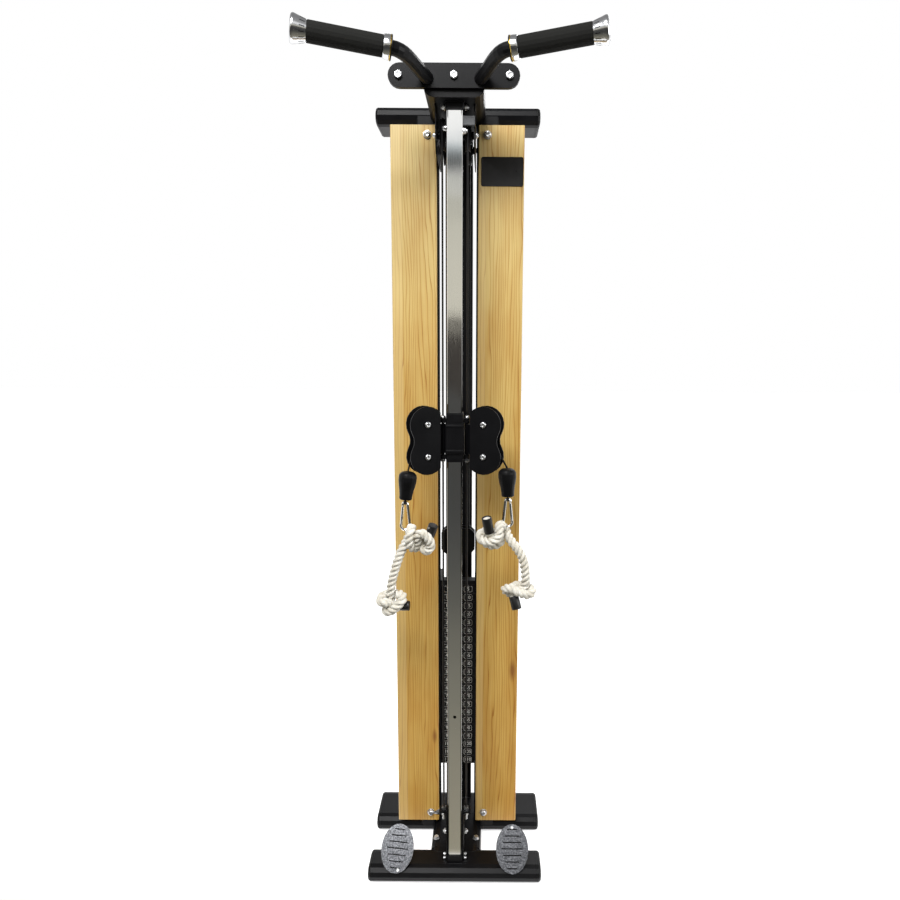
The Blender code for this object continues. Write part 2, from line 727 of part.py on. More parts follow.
def build_guide_rods():
    low, high = TUBE_H + GAP, HEAD_Z - GAP
    profile = [(0.0, low), (0.025, low), (0.025, 0.2150), (0.023, 0.2182), (ROD_R, 0.2182), (ROD_R, high), (0.0, high)]
    for side in ("left", "right"):
        shape = turned(profile, "Z", SIGN[side] * ROD_X, ROD_Y, 16)
        add_part(f"guide_rod_{side}", shape, "polished_steel", smooth=True)


def lug(span):
    reach = HINGE_X - COLLAR / 2 - 0.0005
    plate = rod("Z", HINGE_X, 0.0, reach, span[0], span[1], 14)
    bridge = box((COLLAR / 2 - COLLAR_WALL + 0.0004, -reach + 0.0002, span[0]), (HINGE_X, reach - 0.0002, span[1]))
    return combine(plate, bridge, "UNION")


def build_carriage():
    half = COLLAR / 2
    inner = half - COLLAR_WALL
    sleeve = ring_prism(rounded(-half, half, -half, half, 0.005, 3), rounded(-inner, inner, -inner, inner, 0.003, 3),
                        "Z", *COLLAR_Z)
    pieces = [sleeve]
    ear_in, ear_out = inner + 0.0004, half - 0.0002
    pins = []
    for side in ("left", "right"):
        parts = [lug(LUG_TOP), lug(LUG_LOW),
                 box((ear_in, -0.0105, COLLAR_Z[1] - 0.010), (ear_out, 0.0105, LUG_TOP[1])),
                 box((ear_in, -0.0105, LUG_LOW[0]), (ear_out, 0.0105, COLLAR_Z[0] + 0.010)),
                 rod("Z", HINGE_X, 0.0, 0.0045, TAB_TOP[0] - 0.001, LUG_TOP[0] + 0.002, 14),
                 rod("Z", HINGE_X, 0.0, 0.0045, LUG_LOW[1] - 0.002, TAB_LOW[1] + 0.001, 14)]
        pieces += [for_side(part, side) for part in parts]
        pins.append(rod("Z", SIGN[side] * HINGE_X, 0.0, 0.0033, 1.20, 1.37, 12))
    add_part("carriage_collar", cut(fused(pieces), [together(pins)]), "black_powder_coat", (0.0, 0.0, 1.29))
    slide, outside = POST / 2 + GAP, inner - GAP
    bore = rounded(-slide, slide, -slide, slide, 0.004)

    def liner_ring(size, height):
        return rounded(-size, size, -size, size, 0.004), height

    rings = ((0.0213, 1.226), (0.0217, 1.232), (outside, 1.234), (outside, 1.352), (0.0215, 1.357))
    shell = loft([liner_ring(size, height) for size, height in rings], "Z")
    liner = cut(shell, [prism(bore, "Z", 1.20, 1.38)])
    add_part("carriage_liner", liner, "black_plastic", (0.0, 0.0, 1.29))


def cage_outline():
    """Two discs joined by a filleted waist, with their inner side cut straight, as one closed loop."""
    middle = (WHEEL_LOW + WHEEL_HIGH) / 2
    lean = math.asin((WHEEL_HIGH - middle) / (CAGE_R + WAIST_R))
    waist_u = WHEEL_U + (CAGE_R + WAIST_R) * math.cos(lean)
    edge = math.acos((WHEEL_U - CAGE_EDGE_U) / CAGE_R)
    runs = (((WHEEL_U, WHEEL_LOW), CAGE_R, -math.pi + edge, lean, 10),
            ((waist_u, middle), WAIST_R, math.pi + lean, math.pi - lean, 4),
            ((WHEEL_U, WHEEL_HIGH), CAGE_R, -lean, math.pi - edge, 10))
    outline = []
    for centre, radius, start, end, steps in runs:
        for step in range(steps + 1):
            angle = start + (end - start) * step / steps
            outline.append((centre[0] + radius * math.cos(angle), centre[1] + radius * math.sin(angle)))
    return outline


def cage_web():
    """Forked web from the lower tab to the upper one: round the hinge and out to both plates."""
    low, high = TAB_LOW[0], TAB_TOP[1]
    eye = rod("Z", 0.0, 0.0, 0.0065, low, high, 16)
    neck = [(0.0, -0.0064), (0.0020, -0.0064), (0.0164, -0.0168), (0.0200, -0.0168), (0.0200, -0.0142),
            (0.0164, -0.0142), (0.0088, -0.0088), (0.0088, 0.0088), (0.0164, 0.0142), (0.0200, 0.0142),
            (0.0200, 0.0168), (0.0164, 0.0168), (0.0020, 0.0064), (0.0, 0.0064)]
    bore = rod("Z", 0.0, 0.0, 0.0048, low - 0.01, high + 0.01, 14)
    return cut(combine(eye, prism(neck, "Z", low, high), "UNION"), [bore])


def cage_shape():
    near, far = CAGE_W
    pieces = [prism(cage_outline(), "Y", near, far), prism(cage_outline(), "Y", -far, -near),
              cage_web()]
    for height in (WHEEL_HIGH, WHEEL_LOW):
        pieces.append(rod("Y", WHEEL_U, height, AXLE_R, -near - 0.001, near + 0.001, 12))
        for low in (PULLEY_HALF + GAP, -near - 0.001):
            pieces.append(rod("Y", WHEEL_U, height, 0.009, low, low + near - PULLEY_HALF + 0.001 - GAP, 10))
    return fused(pieces)


def cage_place(side):
    sign, toe = SIGN[side], TOE[side]
    out = Vector((sign * math.cos(toe), -math.sin(toe), 0.0))
    back = Vector((sign * math.sin(toe), math.cos(toe), 0.0))
    matrix = Matrix.Identity(4)
    matrix.col[0][:3] = out
    matrix.col[1][:3] = back
    matrix.translation = (sign * HINGE_X, 0.0, 0.0)
    return matrix


def build_cages():
    shape = cage_shape()
    wheel = moved(pulley(GROOVE_R, RIM_R, PULLEY_HALF), Matrix.Rotation(math.radians(90.0), 4, "Z"))
    for side in ("left", "right"):
        place = cage_place(side)
        pivot = (SIGN[side] * HINGE_X, 0.0, 1.290)
        add_part(f"pulley_cage_{side}", moved(shape, place), "black_powder_coat", pivot)
        for stem, height in (("upper_pulley", WHEEL_HIGH), ("lower_pulley", WHEEL_LOW)):
            centre = place @ Vector((WHEEL_U, 0.0, height))
            seated = moved(shifted(wheel, WHEEL_U, 0.0, height), place)
            add_part(f"{stem}_{side}", seated, "black_plastic", tuple(centre), True)


def stopper_stub(side):
    """Cable from between the wheels, over the lower one and down to the stopper."""
    sign, toe = SIGN[side], TOE[side]
    x, y, top = STOPPER[side]
    reach = math.hypot(x - sign * HINGE_X, y)
    turn_r = CABLE_RUN_R
    across, down = reach - WHEEL_U, top - WHEEL_LOW
    leave = math.degrees(math.atan2(down, across) + math.acos(turn_r / math.hypot(across, down)))
    local = arc((WHEEL_U, 0.0, WHEEL_LOW), turn_r, 112.0, leave, 7)
    local.append((reach, 0.0, top + 0.001))
    local.append((reach + 0.0002, 0.0, top - 0.010))
    place = cage_place(side)
    return sweep([place @ Vector(point) for point in local], CABLE_R, sides=8)


def eye_place(side):
    """Centre of the stopper's wire eye; the handle swings about X through it."""
    x, y, top = STOPPER[side]
    lean, run = STOPPER_LEAN[side], STOPPER_TALL + EYE_DROP
    return Vector((x - run * math.sin(lean), y, top - run * math.cos(lean)))


def build_stoppers():
    depths = ((0.0, 0.0), (0.008, 0.0), (0.014, 0.0015), (0.0185, 0.004), (0.0225, 0.009), (0.0238, 0.014),
              (0.0238, 0.026), (0.0215, 0.040), (0.0188, 0.052), (0.0172, 0.064), (0.0168, 0.073),
              (0.0155, STOPPER_TALL), (0.0, STOPPER_TALL))
    for side in ("left", "right"):
        bulb = turned([(radius, -depth) for radius, depth in reversed(depths)], "Z", 0.0, 0.0, 20)
        lean = Matrix.Rotation(STOPPER_LEAN[side], 4, "Y")
        bulb = moved(bulb, Matrix.Translation(STOPPER[side]) @ lean)
        eye = eye_place(side)
        ring = sweep(arc(tuple(eye), EYE_R, 0.0, 330.0, 11, "YZ"), EYE_WIRE, sides=6, closed=True)
        add_part(f"cable_stopper_{side}", fused([bulb, ring, stopper_stub(side)]), "black_plastic",
                 tuple(eye), True)


def hook_frame(side):
    """Top and bottom arc centres of the pear-shaped hook and the angle its sides lean out by."""
    eye = eye_place(side)
    top = eye.z - (EYE_R - EYE_WIRE - HOOK_WIRE - GAP)
    upper = Vector((eye.x, eye.y, top - HOOK_TOP_R))
    lower = Vector((eye.x, eye.y, top - HOOK_TALL + HOOK_LOW_R))
    return upper, lower, math.asin((HOOK_LOW_R - HOOK_TOP_R) / (upper.z - lower.z))


def on_hook(side, centre, radius, degrees):
    """Point on one of the hook's arcs; 0 degrees is the outer side, where the gate is."""
    angle = math.radians(degrees)
    return centre + Vector((SIGN[side] * radius * math.cos(angle), 0.0, radius * math.sin(angle)))


def hook_bottom(side, start, end):
    """Centre line of the wide end, from one angle to the other."""
    lower = hook_frame(side)[1]
    return [on_hook(side, lower, HOOK_LOW_R, start + (end - start) * step / 9) for step in range(10)]


def build_hooks():
    for side in ("left", "right"):
        upper, lower, lean = hook_frame(side)
        tilt = math.degrees(lean)
        first, last = on_hook(side, upper, HOOK_TOP_R, tilt), on_hook(side, lower, HOOK_LOW_R, tilt)
        down = (last - first).normalized()
        stub, nose = first + down * 0.003, last - down * 0.002
        crown = [on_hook(side, upper, HOOK_TOP_R, tilt + (180.0 - 2 * tilt) * step / 7) for step in range(8)]
        path = [stub] + crown + hook_bottom(side, 180.0 - tilt, 360.0 + tilt) + [nose]
        add_part(f"snap_hook_{side}", sweep(path, HOOK_WIRE, sides=10), "polished_steel",
                 tuple(eye_place(side)), True)
        pivot = stub + down * (GATE_R + GAP)
        reach = (nose - pivot).length - GAP
        profile = [(0.0, -GATE_R)]
        profile += [(GATE_R * math.cos(angle), GATE_R * math.sin(angle))
                    for angle in (math.radians(-60.0), math.radians(-30.0), 0.0)]
        gate = turned(profile + [(GATE_R, reach), (0.0, reach)], "Z", 0.0, 0.0, 12)
        turn = down.to_track_quat("Z", "Y").to_matrix().to_4x4()
        add_part(f"snap_hook_gate_{side}", moved(gate, Matrix.Translation(pivot) @ turn), "polished_steel",
                 tuple(pivot), True)


ROPES = {
    "left": {"knot": (-0.0906, 1.0248), "whipping": (-0.0666, 1.0468),
             "strand": ((-0.104, 1.030), (-0.1385, 1.0053), (-0.1552, 0.9446), (-0.1704, 0.8834), (-0.1712, 0.8500)),
             "low_knot": (-0.1712, 0.8470), "low_whipping": (-0.1350, 0.8388)},
    "right": {"knot": (0.1001, 1.0370), "whipping": (0.0893, 1.0615),
              "strand": ((0.110, 1.044), (0.1390, 1.0400), (0.1720, 1.0020), (0.1906, 0.9664), (0.1917, 0.9276),
                         (0.1882, 0.8942), (0.176, 0.886)),
              "low_knot": (0.1736, 0.8857), "low_whipping": (0.1633, 0.8549)},
}


def smooth_path(points, steps=3):
    path = []
    last = len(points) - 1
    for index in range(last):
        p0, p1 = points[max(index - 1, 0)], points[index]
        p2, p3 = points[index + 1], points[min(index + 2, last)]
        for step in range(steps):
            t = step / steps
            path.append(0.5 * ((2 * p1) + (p2 - p0) * t + (2 * p0 - 5 * p1 + 4 * p2 - p3) * t ** 2
                               + (3 * p1 - p0 - 3 * p2 + p3) * t ** 3))
    path.append(points[last])
    return path


def build_ropes():
    for side in ("left", "right"):
        plan = ROPES[side]
        strand = sweep(smooth_path([Vector((px, ROPE_Y, pz)) for px, pz in plan["strand"]]), ROPE_R, sides=12)
        pieces = [strand]
        for knot, end, size in (("knot", "whipping", (0.030, 0.024, 0.027)),
                                ("low_knot", "low_whipping", (0.028, 0.026, 0.030))):
            centre = Vector((plan[knot][0], ROPE_Y, plan[knot][1]))
            tip = Vector((plan[end][0], ROPE_Y, plan[end][1]))
            pieces.append(ball(centre, size))
            pieces.append(sweep([centre, tip, tip + (tip - centre).normalized() * 0.012], ROPE_R, sides=12))
        bar = hook_frame(side)[1] - Vector((SIGN[side] * BIGHT_BACK, 0.0, HOOK_LOW_R))
        knot = Vector((plan["knot"][0], ROPE_Y, plan["knot"][1]))
        pieces.append(sweep([knot, knot.lerp(bar, 0.5), bar], BIGHT_R, sides=12))
        body = fused(pieces)
        lower = hook_frame(side)[1]
        path = [on_hook(side, lower, HOOK_LOW_R, 0.0) + Vector((0.0, 0.0, 0.020))]
        path += hook_bottom(side, 0.0, -180.0)
        path.append(on_hook(side, lower, HOOK_LOW_R, 180.0) + Vector((0.0, 0.0, 0.030)))
        room = sweep(path, HOOK_WIRE + 0.0008, sides=10)
        add_part(f"rope_handle_{side}", cut(body, [room]), "cotton_rope", tuple(eye_place(side)), True)


def build():
    clear_scene()
    build_base_frame()
    build_tube_caps()
    build_top_frame()
    build_handle()
    build_post_and_columns()
    build_foot_plates()
    build_guide_rods()
    build_stack()
    build_top_pulleys()
    build_cables()
    build_carriage()
    build_cages()
    build_stoppers()
    build_hooks()
    build_ropes()


build()
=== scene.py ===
# %% [markdown]
# # Multi gym station
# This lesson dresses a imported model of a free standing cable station: a polished slide post,
# two lacquered pine boards, a weight stack behind them and a carriage with two swivelling
# pulley cages.

# %% Open the frame
import json
import math

import bmesh
import bpy
from mathutils import Matrix, Vector


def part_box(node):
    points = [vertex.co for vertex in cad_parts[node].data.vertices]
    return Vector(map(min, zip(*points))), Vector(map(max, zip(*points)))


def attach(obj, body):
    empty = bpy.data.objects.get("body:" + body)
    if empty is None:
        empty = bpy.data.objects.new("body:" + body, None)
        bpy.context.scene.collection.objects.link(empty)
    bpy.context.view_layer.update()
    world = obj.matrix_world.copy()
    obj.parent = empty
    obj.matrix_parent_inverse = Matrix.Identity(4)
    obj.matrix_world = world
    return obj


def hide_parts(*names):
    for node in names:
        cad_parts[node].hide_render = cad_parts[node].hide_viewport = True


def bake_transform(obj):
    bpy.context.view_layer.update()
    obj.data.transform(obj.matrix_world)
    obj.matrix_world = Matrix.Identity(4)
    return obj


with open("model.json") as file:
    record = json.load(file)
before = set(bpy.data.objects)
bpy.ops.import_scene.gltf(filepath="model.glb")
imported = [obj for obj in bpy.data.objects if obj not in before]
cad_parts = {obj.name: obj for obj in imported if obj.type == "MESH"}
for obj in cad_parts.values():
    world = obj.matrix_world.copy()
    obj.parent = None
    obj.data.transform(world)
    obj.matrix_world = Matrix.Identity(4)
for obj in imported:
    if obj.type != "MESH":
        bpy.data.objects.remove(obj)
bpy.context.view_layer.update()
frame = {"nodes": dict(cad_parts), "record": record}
nodes = frame["nodes"]

# %% [markdown]
# The photograph was taken a little right of the station and tilted down by 8.7 degrees.
# The focal length is 720 px on a 900 px frame, which is 28.8 mm on a 36 mm sensor. The
# optical axis lies 36 px right of the middle, so the lens is shifted by that share.

# %% Camera
FRAME_PX, FOCAL_PX, AXIS_PX = 900, 720.0, 36.1
SENSOR_MM = 36.0
TILT_DOWN, ROLL = math.radians(8.7), 0.0066
EYE = (0.083, -1.900, 1.547)
camera_data = bpy.data.cameras.new("photo_camera")
camera_data.sensor_width = SENSOR_MM
camera_data.lens = SENSOR_MM * FOCAL_PX / FRAME_PX
camera_data.shift_x = -AXIS_PX / FRAME_PX
camera_data.clip_end = 60.0
camera = bpy.data.objects.new("photo_camera", camera_data)
tilt = Matrix.Rotation(math.pi / 2.0 - TILT_DOWN, 4, "X")
camera.matrix_world = Matrix.Translation(EYE) @ tilt @ Matrix.Rotation(ROLL, 4, "Z")
bpy.context.scene.collection.objects.link(camera)
bpy.context.scene.camera = camera
print("camera at", tuple(round(value, 3) for value in camera.location))

# %% [markdown]
# Colours are picked as sRGB hex, as in a paint program, and shaders work in linear light, so
# one function converts them. Two more fill a node's inputs and add a node. A colour ramp is a
# node like the others, whose stops are given as positions with their colours.


# %% Paint box
def hex_colour(text):
    """Turns an sRGB hex colour into the linear values that shaders expect."""
    shares = [int(text[start:start + 2], 16) / 255.0 for start in (0, 2, 4)]
    linear = [share / 12.92 if share <= 0.04045 else ((share + 0.055) / 1.055) ** 2.4 for share in shares]
    return (*linear, 1.0)


def set_inputs(node, inputs):
    """Fills inputs with values; an output is linked, and a node stands for its first output."""
    for name, value in inputs.items():
        if isinstance(value, bpy.types.Node):
            value = value.outputs[0]
        if isinstance(value, bpy.types.NodeSocket):
            node.id_data.links.new(value, node.inputs[name])
        else:
            node.inputs[name].default_value = value


def add_node(tree, kind, inputs, stops=(), **settings):
    """Adds a shader node with its settings and its inputs."""
    made = tree.nodes.new(f"ShaderNode{kind}")
    for name, value in settings.items():
        setattr(made, name, value)
    if stops:
        steps = made.color_ramp.elements
        while len(steps) < len(stops):
            steps.new(0.5)
        for step, (position, colour) in zip(steps, stops):
            step.position = position
            step.color = hex_colour(colour)
    set_inputs(made, inputs)
    return made


print("paint box:", hex_colour("808080")[0])

# %% [markdown]
# Most finishes are one pattern that moves the colour, the roughness and the relief together,
# because dirt, wear and dents come in the same places. So a material is begun in one call,
# and a second one lets a pattern vary it.

# %% Begin and vary a finish
METAL = {"Metallic": 1.0}


def begin_material(name, colour, roughness, more=None):
    """A fresh material: itself, its tree, its shader and its object coordinates."""
    made = bpy.data.materials.new(name)
    made.use_nodes = True
    tree = made.node_tree
    shader = tree.nodes["Principled BSDF"]
    set_inputs(shader, {"Base Color": hex_colour(colour), "Roughness": roughness, **(more or {})})
    return made, tree, shader, add_node(tree, "TexCoord", {}).outputs["Object"]


def vary(shader, pattern, tones=(), gloss=(), relief=0.0, reach=0.001):
    """Lets a pattern drive the colour, the roughness and the bump of a finish."""
    tree = shader.id_data
    if tones:
        set_inputs(shader, {"Base Color": add_node(tree, "ValToRGB", {"Fac": pattern}, tones)})
    if gloss:
        dull = add_node(tree, "MapRange", {"Value": pattern, "To Min": gloss[0], "To Max": gloss[1]})
        set_inputs(shader, {"Roughness": dull})
    if relief:
        bump = add_node(tree, "Bump", {"Height": pattern, "Strength": relief, "Distance": reach})
        set_inputs(shader, {"Normal": bump})


def drawn_out(tree, place, stretch, scale):
    """Noise whose grains are drawn out along Z, as a small Z scale does."""
    along = add_node(tree, "Mapping", {"Vector": place, "Scale": (1.0, 1.0, stretch)})
    return add_node(tree, "TexNoise", {"Vector": along, "Scale": scale, "Detail": 3.0})


print("finish helpers ready")

# %% [markdown]
# The floor is one wide plane, white where the camera sees it, and it glows a little through
# its emission, which is painted light. Polished metal shows what stands in front of it, so the
# floor is painted dark nearer to the camera, outside the picture.

# %% Studio floor
bpy.context.scene.view_settings.view_transform = "Standard"
bpy.ops.object.select_all(action="DESELECT")
bpy.ops.mesh.primitive_plane_add(size=40.0, location=(0.0, 0.0, 0.0))
floor = bpy.context.object
floor.name = "studio_floor"
floor_glow_paint, tree, shader, place = begin_material("studio_floor_glow", "F6F6F6", 0.8)
split = add_node(tree, "SeparateXYZ", {"Vector": place})
ahead = add_node(tree, "MapRange", {"Value": split.outputs["Y"], "From Min": -4.0, "From Max": 0.0})
glow_sweep = add_node(tree, "ValToRGB", {"Fac": ahead}, (
    (0.0, "20201E"), (0.25, "262622"), (0.44, "2F2E28"), (0.74, "4C4A40"), (0.93, "635F52"),
    (0.968, "6A6658"), (0.977, "FCFCFC")))
# The sweep is also the floor's emission, a painted glow, and it is dark near the camera so that polished
# metal reflects dark there.
set_inputs(shader, {"Base Color": glow_sweep, "Emission Color": glow_sweep, "Emission Strength": 0.60})
floor.data.materials.append(floor_glow_paint)
print("floor:", floor.name)

# %% [markdown]
# The air is white behind the station. On the camera's side it is dark at the horizon, pale
# above it, crossed by a thin dark belt and white over that, and overhead it is grey, because
# polished metal is only as lively as what it reflects. A mix node takes its two colours at
# inputs 6 and 7 and gives the mixed one at output 2.

# %% Studio air
WHITE = (1.0, 1.0, 1.0, 1.0)
BELOW, ABOVE, MIXED = 6, 7, 2
world = bpy.data.worlds.new("studio_air")
bpy.context.scene.world = world
world.use_nodes = True
air = world.node_tree
compass = add_node(air, "SeparateXYZ", {"Vector": add_node(air, "TexCoord", {}).outputs["Generated"]})
height = add_node(air, "MapRange", {"Value": compass.outputs["Z"], "From Min": 0.0, "From Max": 0.5})
camera_side = add_node(air, "ValToRGB", {"Fac": height}, (
    (0.0, "403C39"), (0.040, "403C39"), (0.055, "D2CEC0"), (0.30, "C8C5B8"), (0.36, "B6B4A8"),
    (0.41, "DCDCD8"), (0.420, "303234"), (0.428, "B4B8BA"), (0.434, "0C0E10"), (0.468, "0C0E10"),
    (0.476, "9AA4A8"), (0.50, "C8D0D4"), (0.520, "FFFFFF"), (1.0, "FFFFFF")))
depth = add_node(air, "MapRange", {"Value": compass.outputs["Y"], "From Min": -0.25, "From Max": 0.30})
around = add_node(air, "Mix", {"Factor": depth, BELOW: camera_side, ABOVE: WHITE}, data_type="RGBA")
overhead = add_node(air, "ValToRGB", {"Fac": compass.outputs["Z"]}, (
    (0.0, "FFFFFF"), (0.45, "FFFFFF"), (0.60, "A8A8A8"), (1.0, "8A8A8A")))
ceiling = add_node(air, "Mix", {"Factor": 1.0, BELOW: around.outputs[MIXED], ABOVE: overhead},
                   data_type="RGBA", blend_type="MULTIPLY")
set_inputs(air.nodes["Background"], {"Color": ceiling.outputs[MIXED], "Strength": 1.0})
print("air layers:", 3)

# %% [markdown]
# Three soft lamps light the station: the key above the camera, a weak fill from the right and
# one behind that draws the edges. Each is a rectangle turned towards its own point.

# %% Lamps
for name, spot, aim_at, size, power in (
        ("key_lamp", (-0.8, -2.5, 4.1), (0.0, 0.0, 1.1), (1.8, 1.4), 180.0),
        ("fill_lamp", (3.2, -1.1, 2.3), (0.0, 0.0, 1.0), (1.4, 2.2), 60.0),
        ("back_lamp", (0.4, 3.0, 3.2), (0.0, 0.2, 1.4), (2.4, 1.2), 40.0)):
    lamp_data = bpy.data.lights.new(name, "AREA")
    lamp_data.shape = "RECTANGLE"
    lamp_data.size, lamp_data.size_y = size
    lamp_data.energy = power
    lamp = bpy.data.objects.new(name, lamp_data)
    lamp.location = spot
    lamp.rotation_euler = (Vector(aim_at) - Vector(spot)).to_track_quat("-Z", "Y").to_euler()
    bpy.context.scene.collection.objects.link(lamp)
print("lamps:", len(bpy.data.lights))

# %% [markdown]
# The frame is steel with a black powder coat. Powder is sprayed dry and melts into a skin
# with a fine orange peel, which breaks up the reflection. The real grain is under a
# millimetre; it is drawn at about 1.5 mm here so that it shows at this distance.

# %% Black powder coat
powder_coat, tree, shader, place = begin_material("black_powder_coat", "0D0D0E", 0.42,
                                                  {"Specular IOR Level": 0.14})
cloud = add_node(tree, "TexNoise", {"Vector": place, "Scale": 14.0, "Detail": 4.0})
vary(shader, cloud, ((0.35, "08080A"), (0.70, "0D0D0F")), (0.32, 0.48))
grain = add_node(tree, "TexNoise", {"Vector": place, "Scale": 650.0, "Detail": 3.0})
vary(shader, grain, relief=0.06)
print("finish:", powder_coat.name)

# %% [markdown]
# End caps, pulleys and stoppers are moulded nylon. A mould is spark eroded, which leaves a
# faint even texture and a soft sheen rather than a mirror. The pits are drawn 1 mm apart.

# %% Black moulded nylon
nylon, tree, shader, place = begin_material("black_moulded_nylon", "0C0C0D", 0.42,
                                            {"Specular IOR Level": 0.13})
flow = add_node(tree, "TexNoise", {"Vector": place, "Scale": 40.0, "Detail": 3.0})
vary(shader, flow, ((0.35, "0A0A0B"), (0.70, "0F0F11")), (0.32, 0.48))
spark = add_node(tree, "TexNoise", {"Vector": place, "Scale": 900.0, "Detail": 2.0})
vary(shader, spark, relief=0.05)
print("finish:", nylon.name)

# %% [markdown]
# The grips are closed cell foam rubber. Its skin is matte and full of tiny dimples, so the
# bump is stronger than on nylon and the roughness is high. The dimples are drawn 2.4 mm wide,
# coarser than real ones, so that they show.

# %% Closed cell foam
foam, tree, shader, place = begin_material("closed_cell_foam", "151514", 0.85,
                                           {"Specular IOR Level": 0.18})
cells = add_node(tree, "TexVoronoi", {"Vector": place, "Scale": 420.0})
vary(shader, cells, ((0.1, "10100F"), (0.8, "1B1B19")), (0.75, 0.95), 0.35)
print("finish:", foam.name)

# %% [markdown]
# The boards are pine under clear lacquer. Each is glued up from strips, and the outer strip of
# the left board and the inner strip of the right one are paler sapwood. Inside a strip the
# growth rings show as long brown lines 9 mm apart, nearly straight along the board. The lines
# come from a wave across X whose phase is pushed by slow noise along Z. A real fibre is far
# finer than the 2 mm that it is drawn here.

# %% Lacquered pine
RINGS_PER_METRE, RING_PUSH = 112.0, 0.085
pine, tree, shader, place = begin_material("lacquered_pine", "C9A468", 0.40,
                                           {"Coat Weight": 0.30, "Coat Roughness": 0.20})
parts = add_node(tree, "SeparateXYZ", {"Vector": place})
drift = drawn_out(tree, place, 0.075, 14.0)
fibre = drawn_out(tree, place, 0.010, 520.0)
stain = drawn_out(tree, place, 0.22, 16.0)
push = add_node(tree, "Math", {0: drift, 1: RING_PUSH}, operation="MULTIPLY")
pushed = add_node(tree, "Math", {0: parts.outputs["X"], 1: push}, operation="ADD")
phase = add_node(tree, "Math", {0: pushed, 1: RINGS_PER_METRE}, operation="MULTIPLY")
ring = add_node(tree, "Math", {0: phase}, operation="FRACT")
wood = add_node(tree, "ValToRGB", {"Fac": ring}, (
    (0.0, "C7B272"), (0.08, "CFBF85"), (0.55, "D2C48C"), (0.86, "CBB678"), (0.96, "A88448")))
print("finish:", pine.name)

# %% [markdown]
# Over the rings lie the tone that the light gives with height, stains, fibres, the sapwood
# strips and two knots. Each layer has a way to be mixed in, a share and a colour, and the
# shares of the last three come from patterns. A knot is a ball in X, Y and Z that is drawn
# out along the board, dark in the middle and gone at its rim.

# %% Pine layers
TONE_TOP, STRIPS_TO = 2.1, 0.20
KNOT_STRETCH, KNOT_SHARE, KNOT_CORE = 0.32, 0.85, 0.25
high = add_node(tree, "MapRange", {"Value": parts.outputs["Z"], "From Min": 0.0, "From Max": TONE_TOP})
across = add_node(tree, "MapRange", {"Value": parts.outputs["X"], "From Min": -STRIPS_TO,
                                     "From Max": STRIPS_TO})
tone = add_node(tree, "ValToRGB", {"Fac": high}, ((0.0, "F0CC88"), (0.45, "F4D8A6"), (1.0, "FBF2E2")))
patch = add_node(tree, "ValToRGB", {"Fac": stain}, ((0.32, "E6CFA8"), (0.62, "FFFFFF")))
thread = add_node(tree, "ValToRGB", {"Fac": fibre}, ((0.30, "E2D2BA"), (0.66, "FFFFFF")))
sapwood = add_node(tree, "ValToRGB", {"Fac": across}, (
    (0.115, "A0A0A0"), (0.120, "000000"), (0.640, "000000"), (0.642, "989898"), (0.694, "989898"),
    (0.698, "000000")))
layers = [("MULTIPLY", 0.9, tone), ("MULTIPLY", 0.75, patch), ("MULTIPLY", 0.55, thread),
          ("MIX", sapwood, hex_colour("D6BF86"))]
for spot, size in (((0.1670, 0.15, 0.560), 0.013), ((-0.0690, 0.15, 0.345), 0.009)):
    near = add_node(tree, "VectorMath", {0: place, 1: spot}, operation="SUBTRACT")
    oval = add_node(tree, "VectorMath", {0: near, 1: (1.0, 1.0, KNOT_STRETCH)}, operation="MULTIPLY")
    reach = add_node(tree, "VectorMath", {0: oval}, operation="LENGTH").outputs["Value"]
    knot = add_node(tree, "MapRange", {"Value": reach, "From Min": size * KNOT_CORE, "From Max": size,
                                       "To Min": KNOT_SHARE, "To Max": 0.0})
    layers.append(("MIX", knot, hex_colour("7E4E20")))
for way, share, layer in layers:
    blend = add_node(tree, "Mix", {"Factor": share, BELOW: wood, ABOVE: layer},
                     data_type="RGBA", blend_type=way)
    wood = blend.outputs[MIXED]
set_inputs(shader, {"Base Color": wood})
vary(shader, fibre, relief=0.06)
print("pine layers:", len(layers))

# %% [markdown]
# The post and rods are ground and chrome plated steel. Polishing runs along the tube, so the
# faint scratches are stretched along Z and only the roughness changes with them. They are
# drawn 1.4 mm wide, far coarser than real ones. The lower part of the post's rolled front
# corners is painted a darker grey, a painted shade that dims their reflection: those corners
# are where |X| - Y lies between 36 and 42 mm.

# %% Chromed steel
CORNER_FROM, CORNER_TO, CORNER_PAST = 0.0358, 0.0362, 0.0420
SHADE_FULL_BELOW, SHADE_GONE_ABOVE = 1.30, 1.60
steel, tree, shader, place = begin_material("chromed_steel", "F2F2F0", 0.08, METAL)
vary(shader, drawn_out(tree, place, 0.02, 700.0), gloss=(0.03, 0.12))
wavy = add_node(tree, "TexNoise", {"Vector": place, "Scale": 9.0, "Detail": 1.0})
vary(shader, wavy, relief=0.05, reach=0.010)
parts = add_node(tree, "SeparateXYZ", {"Vector": place})
aside = add_node(tree, "Math", {0: parts.outputs["X"]}, operation="ABSOLUTE")
corner = add_node(tree, "Math", {0: aside, 1: parts.outputs["Y"]}, operation="SUBTRACT")
rolled = add_node(tree, "MapRange", {"Value": corner, "From Min": CORNER_FROM, "From Max": CORNER_TO})
on_post = add_node(tree, "Math", {0: corner, 1: CORNER_PAST}, operation="LESS_THAN")
fade = add_node(tree, "MapRange", {"Value": parts.outputs["Z"], "From Min": SHADE_FULL_BELOW,
                                   "From Max": SHADE_GONE_ABOVE, "To Min": 1.0, "To Max": 0.0})
corner_on_post = add_node(tree, "Math", {0: rolled, 1: on_post}, operation="MULTIPLY")
painted_corner_shade = add_node(tree, "Math", {0: corner_on_post, 1: fade}, operation="MULTIPLY")
